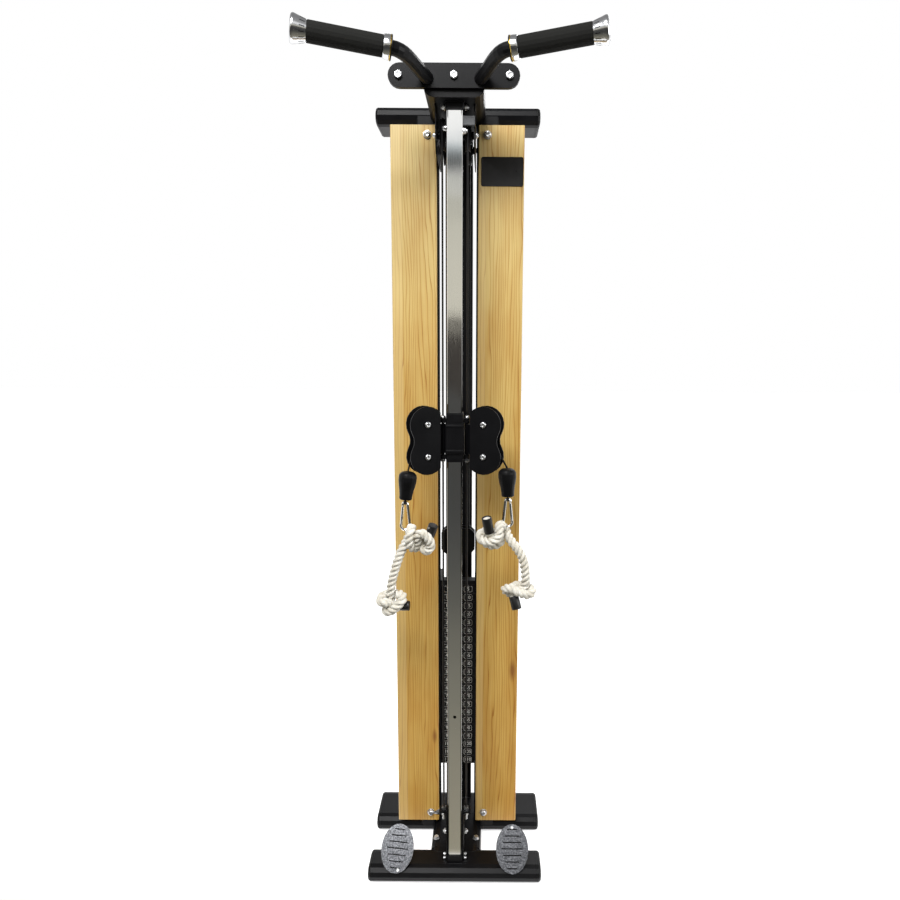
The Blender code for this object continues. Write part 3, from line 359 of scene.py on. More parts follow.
# Painted shade: low down, the post's rolled front corners are painted a darker grey, which dims their
# reflection.
vary(shader, painted_corner_shade, ((0.0, "F2F2F0"), (1.0, "7E7E7A")))
print("finish:", steel.name)

# %% [markdown]
# Nuts, studs and bolts are zinc plated. Zinc is duller and a little blue, and its roughness
# varies from crystal to crystal, drawn 2 mm wide so that they show.

# %% Zinc plated steel
zinc, tree, shader, place = begin_material("zinc_plated_steel", "D2D3D5", 0.28, METAL)
vary(shader, add_node(tree, "TexVoronoi", {"Vector": place, "Scale": 500.0}), gloss=(0.20, 0.38))
print("finish:", zinc.name)

# %% [markdown]
# The foot plates are cast aluminium with a hammered face. Dimples about 4 mm wide catch the
# light one by one through their relief. Their colour is painted light as well: a painted glint,
# lighter on the raised dimples, and painted shade, darker in the hollows.

# %% Hammered aluminium
hammered, tree, shader, place = begin_material("hammered_aluminium", "8E8F91", 0.34, METAL)
dimple_relief_and_glint = add_node(tree, "TexNoise", {"Vector": place, "Scale": 260.0, "Detail": 3.0, "Roughness": 0.55})
# The colour follows the dimples: a painted glint on the raised ones and painted shade in the hollows.
vary(shader, dimple_relief_and_glint, ((0.34, "3E3F41"), (0.50, "505154"), (0.66, "6C6D70")), (0.24, 0.38))
fine = add_node(tree, "TexVoronoi", {"Vector": place, "Scale": 240.0})
vary(shader, add_node(tree, "Math", {0: dimple_relief_and_glint, 1: fine}, operation="ADD"), relief=0.15)
print("finish:", hammered.name)

# %% [markdown]
# Grip collars and end caps are turned and polished aluminium. A lathe leaves rings too fine
# to see one by one, so they only soften the shine a little and unevenly.

# %% Turned aluminium
turned_alloy, tree, shader, place = begin_material("turned_aluminium", "DADBDD", 0.16, METAL)
turning = add_node(tree, "TexNoise", {"Vector": place, "Scale": 420.0, "Detail": 2.0})
vary(shader, turning, gloss=(0.10, 0.24))
print("finish:", turned_alloy.name)

# %% [markdown]
# The weight plates are cast iron with a black paint. The casting skin is coarse, so a noise
# about 3 mm wide moves the surface by a few tenths of a millimetre under the paint.

# %% Painted cast iron
iron, tree, shader, place = begin_material("painted_cast_iron", "0C0C0D", 0.5,
                                           {"Specular IOR Level": 0.18})
sand = add_node(tree, "TexNoise", {"Vector": place, "Scale": 300.0, "Detail": 4.0})
vary(shader, sand, ((0.35, "0A0A0B"), (0.70, "111113")), (0.40, 0.62), 0.25)
print("finish:", iron.name)

# %% [markdown]
# The cable is steel wire in a nylon jacket. The jacket follows the wires a little, so a low
# wave crosses it at a slant about every 6 mm.

# %% Nylon coated cable
jacket, tree, shader, place = begin_material("nylon_cable_jacket", "0C0C0D", 0.38,
                                             {"Specular IOR Level": 0.18})
twist = add_node(tree, "TexWave", {"Vector": place, "Scale": 110.0}, wave_type="BANDS",
                 bands_direction="DIAGONAL")
vary(shader, twist.outputs["Fac"], relief=0.15)
print("finish:", jacket.name)

# %% [markdown]
# Each solid keeps its shape and takes the finish of its material slot.

# %% Dress the solids
finish_of = {"black_powder_coat": powder_coat, "black_plastic": nylon, "black_foam": foam, "pine": pine,
             "polished_steel": steel, "zinc_steel": zinc, "silver_plate": hammered, "black_iron": iron,
             "bright_aluminium": turned_alloy, "black_cable": jacket}
for entry in frame["record"]["subparts"]:
    finish = finish_of.get(entry["material_slot"])
    if finish:
        for material_slot in nodes[entry["node"]].material_slots:
            material_slot.material = finish
print("finishes:", len(finish_of))

# %% [markdown]
# Every new piece below is made at the origin, mostly standing on Z = 0, and is then carried to
# its place. An operator acts on all that is selected, so each helper first selects its piece
# alone, and a primitive is added with nothing else selected.


# %% Start a piece
def pick(*pieces):
    """Selects these objects alone, the first one active, in object mode."""
    if bpy.context.mode != "OBJECT":
        bpy.ops.object.mode_set(mode="OBJECT")
    bpy.ops.object.select_all(action="DESELECT")
    for piece in pieces:
        piece.select_set(True)
    bpy.context.view_layer.objects.active = pieces[0]


def start_piece(name, kind, **size):
    """Adds one primitive at the origin with nothing else selected."""
    bpy.ops.object.select_all(action="DESELECT")
    getattr(bpy.ops.mesh, f"primitive_{kind}_add")(**size)
    piece = bpy.context.object
    piece.name = name
    piece.data.transform(piece.matrix_world)
    piece.matrix_world = Matrix.Identity(4)
    return piece


def start_block(name, wide, deep, tall, kind="cube"):
    """Adds a cube or a plane drawn out to its size about the origin."""
    block = start_piece(name, kind, size=1.0)
    block.data.transform(Matrix.Diagonal((wide, deep, tall, 1.0)))
    return block


print("primitives ready")

# %% [markdown]
# In edit mode faces are chosen by a test on their place or normal, and then inset. A bevel on
# the sharp edges finishes a piece, because no real edge is perfectly sharp. It can leave faces
# with no area, which are dissolved.


# %% Shape a piece
def choose_faces(piece, wanted):
    """Goes into edit mode with only the wanted faces selected."""
    pick(piece)
    bpy.ops.object.mode_set(mode="EDIT")
    bpy.ops.mesh.select_mode(type="FACE")
    bpy.ops.mesh.select_all(action="DESELECT")
    shell = bmesh.from_edit_mesh(piece.data)
    for face in shell.faces:
        face.select_set(wanted(face))
    bmesh.update_edit_mesh(piece.data)


def faces_up(face):
    """Is this face on top?"""
    return face.normal.z > 0.9


def end_faces(face):
    """Is this face on top or underneath?"""
    return abs(face.normal.z) > 0.9


def inset_rings(*steps):
    """Insets the selected faces once for each pair of width and height."""
    for inward, upward in steps:
        bpy.ops.mesh.inset(thickness=inward, depth=upward)


def drop_slivers():
    """Takes faces with no area out of the active piece."""
    bpy.ops.object.mode_set(mode="EDIT")
    bpy.ops.mesh.select_all(action="SELECT")
    bpy.ops.mesh.dissolve_degenerate(threshold=0.00001)
    bpy.ops.object.mode_set(mode="OBJECT")


def round_edges(piece, width, segments=2, angle=35.0):
    """Bevels the sharp edges, applies it, and shades what is left smooth."""
    pick(piece)
    worn_edge = piece.modifiers.new("worn edge", "BEVEL")
    worn_edge.width, worn_edge.segments = width, segments
    worn_edge.limit_method, worn_edge.angle_limit = "ANGLE", math.radians(angle)
    bpy.ops.object.modifier_apply(modifier=worn_edge.name)
    drop_slivers()
    bpy.ops.object.shade_smooth_by_angle(angle=math.radians(40.0))
    return piece


print("edit helpers ready")

# %% [markdown]
# A finished model is copied to each of its places. The place goes into the mesh and the object
# stays at the origin, so that patterns on object coordinates don't slide or turn.


# %% Set a piece in place
def join_pieces(*pieces):
    """Joins finished parts of one piece into a single mesh."""
    pick(*pieces)
    bpy.ops.object.join()
    return pieces[0]


def move(x, y, z):
    """A place that is moved and not turned."""
    return Matrix.Translation((x, y, z))


def aim(spot, outward):
    """A place whose own Z axis points outwards."""
    turn = Vector(outward).normalized().to_track_quat("Z", "Y")
    return Matrix.Translation(spot) @ turn.to_matrix().to_4x4()


def set_piece(piece, name, place, body="frame", finish=zinc):
    """Puts a copy of a finished model in its place, on its body if it rides on one alone."""
    placed = bpy.data.objects.new(name, piece.data.copy())
    bpy.context.scene.collection.objects.link(placed)
    placed.data.transform(place)
    placed.data.materials.clear()
    placed.data.materials.append(finish)
    if body:
        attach(placed, body)
    return placed


def put_away(*models):
    """Removes the models that copies were taken from."""
    for model in models:
        bpy.data.objects.remove(model)


print("bench ready")

# %% [markdown]
# A hex bolt head is a six sided bar end on a washer. Its top corners are turned off by a
# chamfer, which is what makes a real one glint, so the top is inset and pulled up a little.
# A nut is the same model with the end of its stud on top.

# %% Hex bolt
WASHER_THICK = 0.0016


def cylinder_on(name, corners, wide, tall, base=0.0):
    """A cylinder that stands on the height of base."""
    return start_piece(name, "cylinder", vertices=corners, radius=wide / 2.0, depth=tall,
                       location=(0.0, 0.0, base + tall / 2.0))


def with_washer(head, across, corners, lip):
    """Joins a washer with a raised middle to the foot of a head."""
    if not across:
        return head
    ring = cylinder_on("washer_model", corners, across, WASHER_THICK)
    choose_faces(ring, faces_up)
    inset_rings((lip, 0.0003))
    return join_pieces(head, round_edges(ring, 0.0003))


def hex_bolt(flats, tall, washer=0.0, stud=0.0):
    """Bolt head or nut on a washer; a stud end makes it a nut."""
    base = WASHER_THICK if washer else 0.0
    head = cylinder_on("hex_model", 6, flats / math.cos(math.radians(30.0)), tall, base)
    choose_faces(head, faces_up)
    inset_rings((flats * 0.07, flats * 0.035), (flats * 0.10, 0.0), (flats * 0.02, -flats * 0.02))
    head = with_washer(round_edges(head, 0.0003), washer, 32, 0.0008)
    if stud:
        end = cylinder_on("stud_model", 20, flats * 0.60, stud, base + tall - 0.0005)
        choose_faces(end, faces_up)
        inset_rings((flats * 0.06, flats * 0.04))
        join_pieces(head, round_edges(end, 0.0003))
    return head


print("hex bolt ready")

# %% [markdown]
# The boards, cages and foot plates are held by button heads with a round socket. Their dome is
# built ring by ring: each inset draws the top face in and lifts it less than the last.


# %% Button head
def button_head(across, tall, washer=0.0):
    """Domed socket head, standing on its washer."""
    half = across / 2.0
    head = cylinder_on("button_model", 36, across, tall * 0.35, WASHER_THICK if washer else 0.0)
    choose_faces(head, faces_up)
    inset_rings((half * 0.08, tall * 0.26), (half * 0.10, tall * 0.20), (half * 0.12, tall * 0.12),
                (half * 0.10, tall * 0.05), (half * 0.14, 0.0), (half * 0.02, -tall * 0.45))
    return with_washer(round_edges(head, 0.0003, angle=40.0), washer, 36, 0.0010)


print("button head ready")

# %% [markdown]
# Three hex bolts hold the handle plate to the head. They sit on its middle line, 133.5 mm
# apart, and the outer two have their nuts behind the head.

# %% Handle plate bolts
SIDES = (("left", -1.0), ("right", 1.0))
FRONT, BACK, UP, DOWN = (0.0, -1.0, 0.0), (0.0, 1.0, 0.0), (0.0, 0.0, 1.0), (0.0, 0.0, -1.0)
PLATE_MIDDLE, PLATE_BACK, PLATE_BOLT_PITCH = 2.1728, -0.0480, 0.1335
plate_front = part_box("handle_plate")[0][1]
plate_bolt = hex_bolt(flats=0.0170, tall=0.0064)
for number in (1, 2, 3):
    bolt_spot = ((number - 2) * PLATE_BOLT_PITCH, plate_front, PLATE_MIDDLE)
    set_piece(plate_bolt, f"handle_plate_bolt_{number}", aim(bolt_spot, FRONT))
plate_nut = hex_bolt(flats=0.0170, tall=0.0080, washer=0.0240, stud=0.004)
for number, sign in ((1, -1.0), (2, 1.0)):
    nut_spot = (sign * PLATE_BOLT_PITCH, PLATE_BACK, PLATE_MIDDLE)
    set_piece(plate_nut, f"handle_plate_nut_{number}", aim(nut_spot, BACK))
put_away(plate_bolt, plate_nut)
print("handle plate bolts:", 3)

# %% [markdown]
# Each board is held by a button head near its top and its foot, with another one behind its
# upright, and each cage by the ends of its two axles, which lie 50 mm out from the hinge. The
# left cage is swung forward by 26 degrees and the right one by 17.

# %% Board and cage screws
BOARD_FRONT, UPRIGHT_BACK, BOARD_SCREW_OUT = 0.150, 0.2053, 0.0815
HINGE_OUT, AXLE_REACH, CAGE_HALF = 0.032, 0.050, 0.0170
TOE_IN = {"left": math.radians(26.0), "right": math.radians(17.0)}
board_screw = button_head(across=0.0185, tall=0.0080, washer=0.0225)
cage_screw = button_head(across=0.0170, tall=0.0060)
axle_nut = hex_bolt(flats=0.0130, tall=0.0060, washer=0.0180, stud=0.0035)
for side, sign in SIDES:
    for name, up in (("top", 2.0935), ("foot", 0.0903)):
        x = sign * BOARD_SCREW_OUT
        set_piece(board_screw, f"board_screw_{name}_{side}", aim((x, BOARD_FRONT, up), FRONT))
        set_piece(board_screw, f"board_back_screw_{name}_{side}", aim((x, UPRIGHT_BACK, up), BACK))
    toe = TOE_IN[side]
    out = Vector((sign * math.cos(toe), -math.sin(toe), 0.0))
    across = Vector((sign * math.sin(toe), math.cos(toe), 0.0))
    for name, up in (("upper", 1.327), ("lower", 1.242)):
        centre = Vector((sign * HINGE_OUT, 0.0, up)) + out * AXLE_REACH
        front, back = aim(centre - across * CAGE_HALF, -across), aim(centre + across * CAGE_HALF, across)
        set_piece(cage_screw, f"{name}_axle_head_{side}", front, f"cage_{side}")
        set_piece(axle_nut, f"{name}_axle_nut_{side}", back, f"cage_{side}")
put_away(board_screw, cage_screw, axle_nut)
print("board screws:", 8, "cage fasteners:", 8)

# %% [markdown]
# The cages swing on pins through the carriage lugs. A domed head closes each pin above and a
# plain nut below. The post's cups, the cable brackets, the wheel axles and the stop bolt under
# the head have nuts that point sideways, and two hex bolts hold the base's spine from above.

# %% Pins and frame nuts
pin_head = button_head(across=0.0150, tall=0.0075)
pin_nut = hex_bolt(flats=0.0120, tall=0.0065, stud=0.0030)
small_nut = hex_bolt(flats=0.0085, tall=0.0070, stud=0.0020)
cup_nut = hex_bolt(flats=0.0140, tall=0.0075, stud=0.0040)
SIDEWAYS_NUTS = (("head_cup_nut", cup_nut, 0.0233, -0.004, 2.1165),
                 ("bracket_nut", cup_nut, 0.0252, 0.030, 0.1145),
                 ("foot_cup_nut_upper", small_nut, 0.0252, -0.004, 0.0665),
                 ("foot_cup_nut_lower", small_nut, 0.0252, -0.004, 0.0540),
                 ("front_top_axle_nut", pin_nut, 0.0500, 0.0390, 2.0620),
                 ("rear_top_axle_nut", pin_nut, 0.0500, 0.1860, 2.0620))
for side, sign in SIDES:
    x = sign * HINGE_OUT
    set_piece(pin_head, f"hinge_pin_head_{side}", aim((x, 0.0, 1.3410), UP), "carriage")
    set_piece(pin_nut, f"hinge_pin_nut_{side}", aim((x, 0.0, 1.2320), DOWN), "carriage")
    for name, model, out, back, up in SIDEWAYS_NUTS:
        set_piece(model, f"{name}_{side}", aim((sign * out, back, up), (sign, 0.0, 0.0)))
stop_head = button_head(across=0.0150, tall=0.0100)
set_piece(stop_head, "stop_bolt_head", aim((-0.0200, -0.0115, 2.0660), (-1.0, 0.0, 0.0)))
set_piece(cup_nut, "stop_bolt_nut", aim((0.0200, -0.0115, 2.0600), (1.0, 0.0, 0.0)))
spine_bolt = hex_bolt(flats=0.0130, tall=0.0055, washer=0.0180)
for number, sign in ((1, -1.0), (2, 1.0)):
    set_piece(spine_bolt, f"spine_bolt_{number}", aim((sign * 0.0600, 0.0840, 0.0495), UP))
put_away(pin_head, pin_nut, small_nut, cup_nut, stop_head, spine_bolt)
print("pins and nuts:", 6 + 2 * len(SIDEWAYS_NUTS) + 2)

# %% [markdown]
# A small grey rubber buffer sits between the post and the right cheek, above the front wheel.
# It is a block with soft edges and a shallow recess in its front face.

# %% Head buffer
buffer_rubber, tree, shader, place = begin_material("grey_moulded_rubber", "47484A", 0.7)
mottle = add_node(tree, "TexNoise", {"Vector": place, "Scale": 260.0, "Detail": 3.0})
vary(shader, mottle, ((0.3, "404143"), (0.7, "505153")), relief=0.15)
block = start_block("buffer_model", wide=0.0290, deep=0.0130, tall=0.0215)
choose_faces(block, lambda face: face.normal.y < -0.9)
inset_rings((0.0025, 0.0), (0.0008, -0.0008))
round_edges(block, 0.0010, 3)
set_piece(block, "head_buffer", move(0.0350, -0.0098, 2.0835), "frame", buffer_rubber)
put_away(block)
print("buffer set")

# %% [markdown]
# The foot plates are screwed to their stays by one bright screw, low on the left plate and
# high on the right one, with a nut behind and a thin black sheet of painted shade behind the
# plate, which keeps its slots dark. The plates lean back by 40 degrees, so the screws, nuts and
# sheets lean with them.

# %% Foot plate screws
LEAN = math.radians(40.0)
PLATE_OUT, STAY_OUT, FOOT_BACK, FOOT_UP = 0.166, 0.150, -0.055, 0.042
PLATE_MID, STAY_NUT_UP, STAY_DEEP, SHADE_SHEET_DEEP = 0.0635, 0.075, 0.0052, 0.0045
SHADE_SHEET_SIZE = (0.0880, 0.1210, 1.0, 1.0)
# side, sign, the screw's height from the plate's middle, its step aside, the shade sheet's turn
FOOT_PLATES = (("left", -1.0, -0.0545, 0.0045, -5.0), ("right", 1.0, 0.0545, 0.0, 0.0))
face_out = Vector((0.0, -math.cos(LEAN), math.sin(LEAN)))
up_plate = Vector((0.0, math.sin(LEAN), math.cos(LEAN)))
on_plate = Matrix((Vector((1.0, 0.0, 0.0)), up_plate, face_out)).transposed().to_4x4()
plate_screw = button_head(across=0.0100, tall=0.0036)
stay_nut = hex_bolt(flats=0.0100, tall=0.0050, stud=0.0020)
for side, sign, up, aside, turn in FOOT_PLATES:
    foot, stay = (Vector((sign * out, FOOT_BACK, FOOT_UP)) for out in (PLATE_OUT, STAY_OUT))
    middle = foot + up_plate * PLATE_MID
    screw_spot = foot + up_plate * (PLATE_MID + up) + Vector((aside, 0.0, 0.0))
    set_piece(plate_screw, f"foot_plate_screw_{side}", aim(screw_spot, face_out))
    behind = stay + up_plate * STAY_NUT_UP - face_out * STAY_DEEP
    set_piece(stay_nut, f"foot_plate_nut_{side}", aim(behind, -face_out))
    # A thin black sheet behind the plate is painted shade that keeps the plate's slots dark.
    shade_sheet = start_piece("shade_sheet_model", "cylinder", vertices=48, radius=0.5, depth=0.0006)
    round_edges(shade_sheet, 0.0002, 1)
    shade_sheet.data.transform(Matrix.Rotation(math.radians(turn), 4, "Z") @ Matrix.Diagonal(SHADE_SHEET_SIZE))
    shade_sheet_place = Matrix.Translation(middle - face_out * SHADE_SHEET_DEEP) @ on_plate
    set_piece(shade_sheet, f"foot_plate_pad_{side}", shade_sheet_place, "frame", nylon)
    put_away(shade_sheet)
put_away(plate_screw, stay_nut)
print("foot plate screws, nuts and shade sheets:", 6)

# %% [markdown]
# A black plate sits high on the right board, 115 by 77 mm with round corners. It is bare, with
# a shallow border. A plane gets round corners from a vertex bevel and its thickness from an
# extrude, and its face is inset for the border.


# %% Bare plate on the board
def rounded_plate(wide, tall, corner, thick):
    """A plate with round corners, lying in the X-Y plane with its face up."""
    plate = start_block("plate_model", wide, tall, 1.0, "plane")
    choose_faces(plate, lambda face: True)
    bpy.ops.mesh.select_mode(type="VERT")
    bpy.ops.mesh.bevel(offset=corner, segments=6, affect="VERTICES")
    bpy.ops.mesh.select_mode(type="FACE")
    bpy.ops.mesh.select_all(action="SELECT")
    bpy.ops.mesh.extrude_region_move(TRANSFORM_OT_translate={"value": (0.0, 0.0, thick)})
    bpy.ops.mesh.select_all(action="SELECT")
    bpy.ops.mesh.normals_make_consistent(inside=False)
    bpy.ops.object.mode_set(mode="OBJECT")
    return plate


enamel, tree, shader, place = begin_material("black_enamel_plate", "0C0B0B", 0.30,
                                             {"Specular IOR Level": 0.22})
haze = add_node(tree, "TexNoise", {"Vector": place, "Scale": 60.0, "Detail": 4.0})
vary(shader, haze, ((0.35, "090808"), (0.70, "100E0E")), (0.22, 0.40))
bare_plate = rounded_plate(wide=0.1150, tall=0.0772, corner=0.0055, thick=0.0010)
choose_faces(bare_plate, faces_up)
inset_rings((0.0022, 0.0), (0.0004, -0.0003))
round_edges(bare_plate, 0.0002)
bare_place = aim((0.1222, BOARD_FRONT, 1.9990), FRONT)
set_piece(bare_plate, "bare_name_plate", bare_place, "frame", enamel)
put_away(bare_plate)
print("bare plate set")

# %% [markdown]
# Each weight plate carries a printed number on both sides of the pin row: 5 for the top
# plate, then 5 more for each one below. The numbers are plain, in a thin rounded frame. The
# frame is a plate whose two faces are inset and then bridged, which opens its middle.

# %% Plate numbers
PLATE_PITCH, PLATE_COUNT, STACK_LOW, LIFTED_PLATES = 0.0268, 22, 0.2185, 4
NUMBER_OUT, PLATE_FACE, FIGURE_TALL, INK_THICK = 0.0310, 0.2079, 0.0150, 0.0002
print_ink, tree, shader, place = begin_material("white_screen_print", "D8D8D4", 0.55)
worn_ink = add_node(tree, "TexNoise", {"Vector": place, "Scale": 700.0, "Detail": 3.0})
vary(shader, worn_ink, ((0.25, "A9A9A6"), (0.45, "E2E2DE")))
label_frame = rounded_plate(wide=0.0250, tall=0.0190, corner=0.0040, thick=INK_THICK)
choose_faces(label_frame, end_faces)
inset_rings((0.0007, 0.0))
bpy.ops.mesh.bridge_edge_loops()
bpy.ops.object.mode_set(mode="OBJECT")
for number in range(1, PLATE_COUNT + 1):
    up = STACK_LOW + (PLATE_COUNT - number) * PLATE_PITCH + PLATE_PITCH / 2.0
    bpy.ops.object.select_all(action="DESELECT")
    bpy.ops.object.text_add(location=(0.0, 0.0, 0.0))
    text = bpy.context.object.data
    text.body, text.size, text.extrude = str(5 * number), FIGURE_TALL, INK_THICK / 2.0
    text.align_x, text.align_y, text.resolution_u = "CENTER", "CENTER", 3
    bpy.ops.object.convert(target="MESH")
    figures = bpy.context.object
    drop_slivers()
    body = "stack" if number <= LIFTED_PLATES else "frame"
    for side, sign in SIDES:
        spot = aim((sign * NUMBER_OUT, PLATE_FACE, up), FRONT)
        for model, name in ((figures, "plate_number"), (label_frame, "number_frame")):
            set_piece(model, f"{name}_{number}_{side}", spot, body, print_ink)
    put_away(figures)
put_away(label_frame)
print("plate numbers:", 2 * PLATE_COUNT)

# %% [markdown]
# Parts made on a lathe are drawn as half a profile, in points of radius and height, and spun
# round Z. The last ring meets the first, so doubles are merged, and then every face is made to
# point outwards.


# %% Spin a profile
def spin_profile(name, profile, steps=40):
    """Spins a closed half profile of (radius, height) points round Z."""
    shape = start_piece(name, "plane", size=1.0)
    bpy.ops.object.mode_set(mode="EDIT")
    bpy.ops.mesh.delete(type="VERT")
    shell = bmesh.from_edit_mesh(shape.data)
    points = [shell.verts.new((radius, 0.0, up)) for radius, up in profile]
    for before, after in zip(points, points[1:] + points[:1]):
        shell.edges.new((before, after))
    bmesh.update_edit_mesh(shape.data)
    bpy.ops.mesh.select_all(action="SELECT")
    bpy.ops.mesh.spin(steps=steps, angle=2.0 * math.pi, center=(0.0, 0.0, 0.0), axis=(0.0, 0.0, 1.0))
    bpy.ops.mesh.select_all(action="SELECT")
    bpy.ops.mesh.remove_doubles(threshold=0.00001)
    bpy.ops.mesh.delete_loose(use_verts=True, use_edges=True, use_faces=False)
    bpy.ops.mesh.select_all(action="SELECT")
    bpy.ops.mesh.normals_make_consistent(inside=False)
    bpy.ops.object.mode_set(mode="OBJECT")
    bpy.ops.object.shade_smooth_by_angle(angle=math.radians(30.0))
    return shape


print("lathe ready")

# %% [markdown]
# The ring behind each collar is polished brass. It tarnishes in clouds, so its gold is deeper
# in some places than in others.

# %% Polished brass
brass, tree, shader, place = begin_material("polished_brass", "D9B85A", 0.22, METAL)
tarnish = add_node(tree, "TexNoise", {"Vector": place, "Scale": 180.0, "Detail": 3.0})
vary(shader, tarnish, ((0.3, "B08C34"), (0.7, "E3C870")))
print("finish:", brass.name)

# %% [markdown]
# The grips end in turned aluminium. The inner collar is a short barrel with a brass ring and a
# black seal behind it, and the end cap is a cone with fourteen slots and a rounded face.
# Heights are counted along the grip from the seal. The shade in the slots is painted by black
# cubes with rounded edges that lean with the cone, and the face has a plated ring and six
# vents whose shade is painted by black discs.

# %% Grip collars and caps
BORE, SEAL_END, BRASS_END, COLLAR_END = 0.0163, 0.0026, 0.0044, 0.0190
CAP_START, CAP_SEAT, CAP_FACE, SLOT_COUNT = 0.1823, 0.2043, 0.2152, 14
seal_model = spin_profile("seal_model", [
    (BORE, 0.0), (0.0256, 0.0), (0.0265, 0.0005), (0.0268, 0.0013), (0.0265, 0.0021),
    (0.0256, SEAL_END), (BORE, SEAL_END)])
brass_model = spin_profile("brass_model", [
    (BORE, SEAL_END), (0.0260, SEAL_END), (0.0265, 0.0030), (0.0265, 0.0040), (0.0260, BRASS_END),
    (BORE, BRASS_END)])
collar_model = spin_profile("collar_model", [
    (BORE, BRASS_END), (0.0254, BRASS_END), (0.0260, 0.0050), (0.0262, 0.0062), (0.0258, 0.0110),
    (0.0252, 0.0160), (0.0246, 0.0180), (0.0238, COLLAR_END), (BORE, COLLAR_END)])
cap_model = spin_profile("cap_model", [
    (BORE, CAP_START), (0.0226, CAP_START), (0.0236, 0.1860), (0.0252, 0.1920), (0.0268, 0.1980),
    (0.0283, 0.2036), (0.0294, 0.2070), (0.0301, 0.2098), (0.0302, 0.2118), (0.0296, 0.2138),
    (0.0282, 0.2154), (0.0266, 0.2162), (0.0254, 0.2160), (0.0246, CAP_FACE), (0.0060, CAP_FACE),
    (0.0052, 0.2160), (0.0, 0.2162), (0.0, CAP_SEAT), (BORE, CAP_SEAT)], 56)
cap_ring = spin_profile("cap_ring_model", [
    (0.0150, CAP_FACE), (0.0150, 0.2158), (0.0190, 0.2158), (0.0196, CAP_FACE)])
# Black discs on the cap's face are painted shade for the vents, and the black cubes below are painted
# shade for the slots.
cap_vent_shade = start_piece("vent_shade_model", "cylinder", vertices=16, radius=0.0016, depth=0.0004)
round_edges(cap_vent_shade, 0.0001, 1)
cone_lean = Matrix.Rotation(math.atan2(0.0047, 0.0176), 4, "Y")
cap_slots = []
for number in range(SLOT_COUNT):
    slot = round_edges(start_block("slot_shade_model", wide=0.0010, deep=0.0019, tall=0.0120), 0.0003)
    turn = Matrix.Rotation(2.0 * math.pi * number / SLOT_COUNT, 4, "Z")
    slot.data.transform(turn @ move(0.0247, 0.0, 0.1914) @ cone_lean)
    cap_slots.append(slot)
cap_slot_shade_ring = join_pieces(*cap_slots)
print("grip models:", 7)

# %% [markdown]
# The same seven models serve both grips. The right grip's start and direction are given, and
# the left one's are their mirror image. The collar and the cap replace the plainer solids.

# %% Set the grip ends
GRIP_START = Vector((0.130, -0.205, 2.179))
GRIP_LINE = Vector((0.9725, -0.2112, 0.0982)).normalized()
VENT_COUNT, VENT_CIRCLE, VENT_DEEP = 6, 0.0105, 0.2155
GRIP_PARTS = ((collar_model, "collar_cone", "bright_aluminium", turned_alloy, "grip_collar"),
              (cap_model, "end_cap", "bright_aluminium", turned_alloy, "grip_end_cap"),
              (brass_model, "collar_brass_ring", "bright_aluminium", brass, None),
              (seal_model, "collar_seal", "black_plastic", nylon, None),
              (cap_slot_shade_ring, "cap_slots", "black_plastic", nylon, None),
              (cap_ring, "cap_ring", "bright_aluminium", zinc, None))
for side, sign in SIDES:
    flip = Matrix.Diagonal((sign, 1.0, 1.0, 1.0))
    grip_place = aim(flip @ GRIP_START, flip @ GRIP_LINE)
    for model, name, slot, finish, stands_for in GRIP_PARTS:
        grip_part = set_piece(model, f"{name}_{side}", grip_place, "frame", finish)
        if stands_for:
            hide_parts(f"{stands_for}_{side}")
    for number in range(VENT_COUNT):
        angle = 2.0 * math.pi * number / VENT_COUNT
        hole = grip_place @ move(VENT_CIRCLE * math.cos(angle), VENT_CIRCLE * math.sin(angle), VENT_DEEP)
        set_piece(cap_vent_shade, f"cap_vent_shade_{number + 1}_{side}", hole, "frame", nylon)
put_away(cap_vent_shade, *(row[0] for row in GRIP_PARTS))
print("grip ends:", 2)

# %% [markdown]
# The carriage sleeve is stiffened by two flat bars welded across its front, near the top and
# the bottom edge. Each is a cube drawn out to 46 by 8 mm with its edges rounded.

# %% Carriage bars
bar_model = start_block("bar_model", wide=0.0460, deep=0.0080, tall=0.0014)
choose_faces(bar_model, faces_up)
inset_rings((0.0008, 0.0004))
round_edges(bar_model, 0.0004)
for name, up in (("upper", 1.3225), ("lower", 1.2555)):
    bar_place = aim((0.0, -0.0255, up), FRONT)
    set_piece(bar_model, f"carriage_bar_{name}", bar_place, "carriage", powder_coat)
put_away(bar_model)
print("carriage bars:", 2)

# %% [markdown]
# Two lift cables run straight down from the rear wheels to the bend under the travel wheel.
# Their top ends stay at the wheels while their lower ends rise with the stack, so each one is
# a plain length with rings of points at its ends alone. Each is a sixteen sided cylinder, and
# its ends are inset and chamfered.

# %% Lift cables
CABLE_LOW, CABLE_HIGH, CABLE_BACK, CABLE_OUT, CABLE_RADIUS = 0.9374, 2.0616, 0.2250, 0.0320, 0.0025
cable_model = start_piece("cable_model", "cylinder", vertices=16, radius=CABLE_RADIUS,
                          depth=CABLE_HIGH - CABLE_LOW)
choose_faces(cable_model, end_faces)
inset_rings((0.0004, 0.0))
round_edges(cable_model, 0.0003)
for side, sign in SIDES:
    x = sign * CABLE_OUT
    half_way = move(x, CABLE_BACK, (CABLE_LOW + CABLE_HIGH) / 2.0)
    run = set_piece(cable_model, f"cable_run_{side}", half_way, None, jacket)
    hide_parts(f"lift_cable_{side}")
    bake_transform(run)
put_away(cable_model)
print("lift cables:", 2)

# %% [markdown]
# A bent steel tab holds the foot of the left board. It starts as a cube, and one end is
# pinched to a wedge in edit mode.

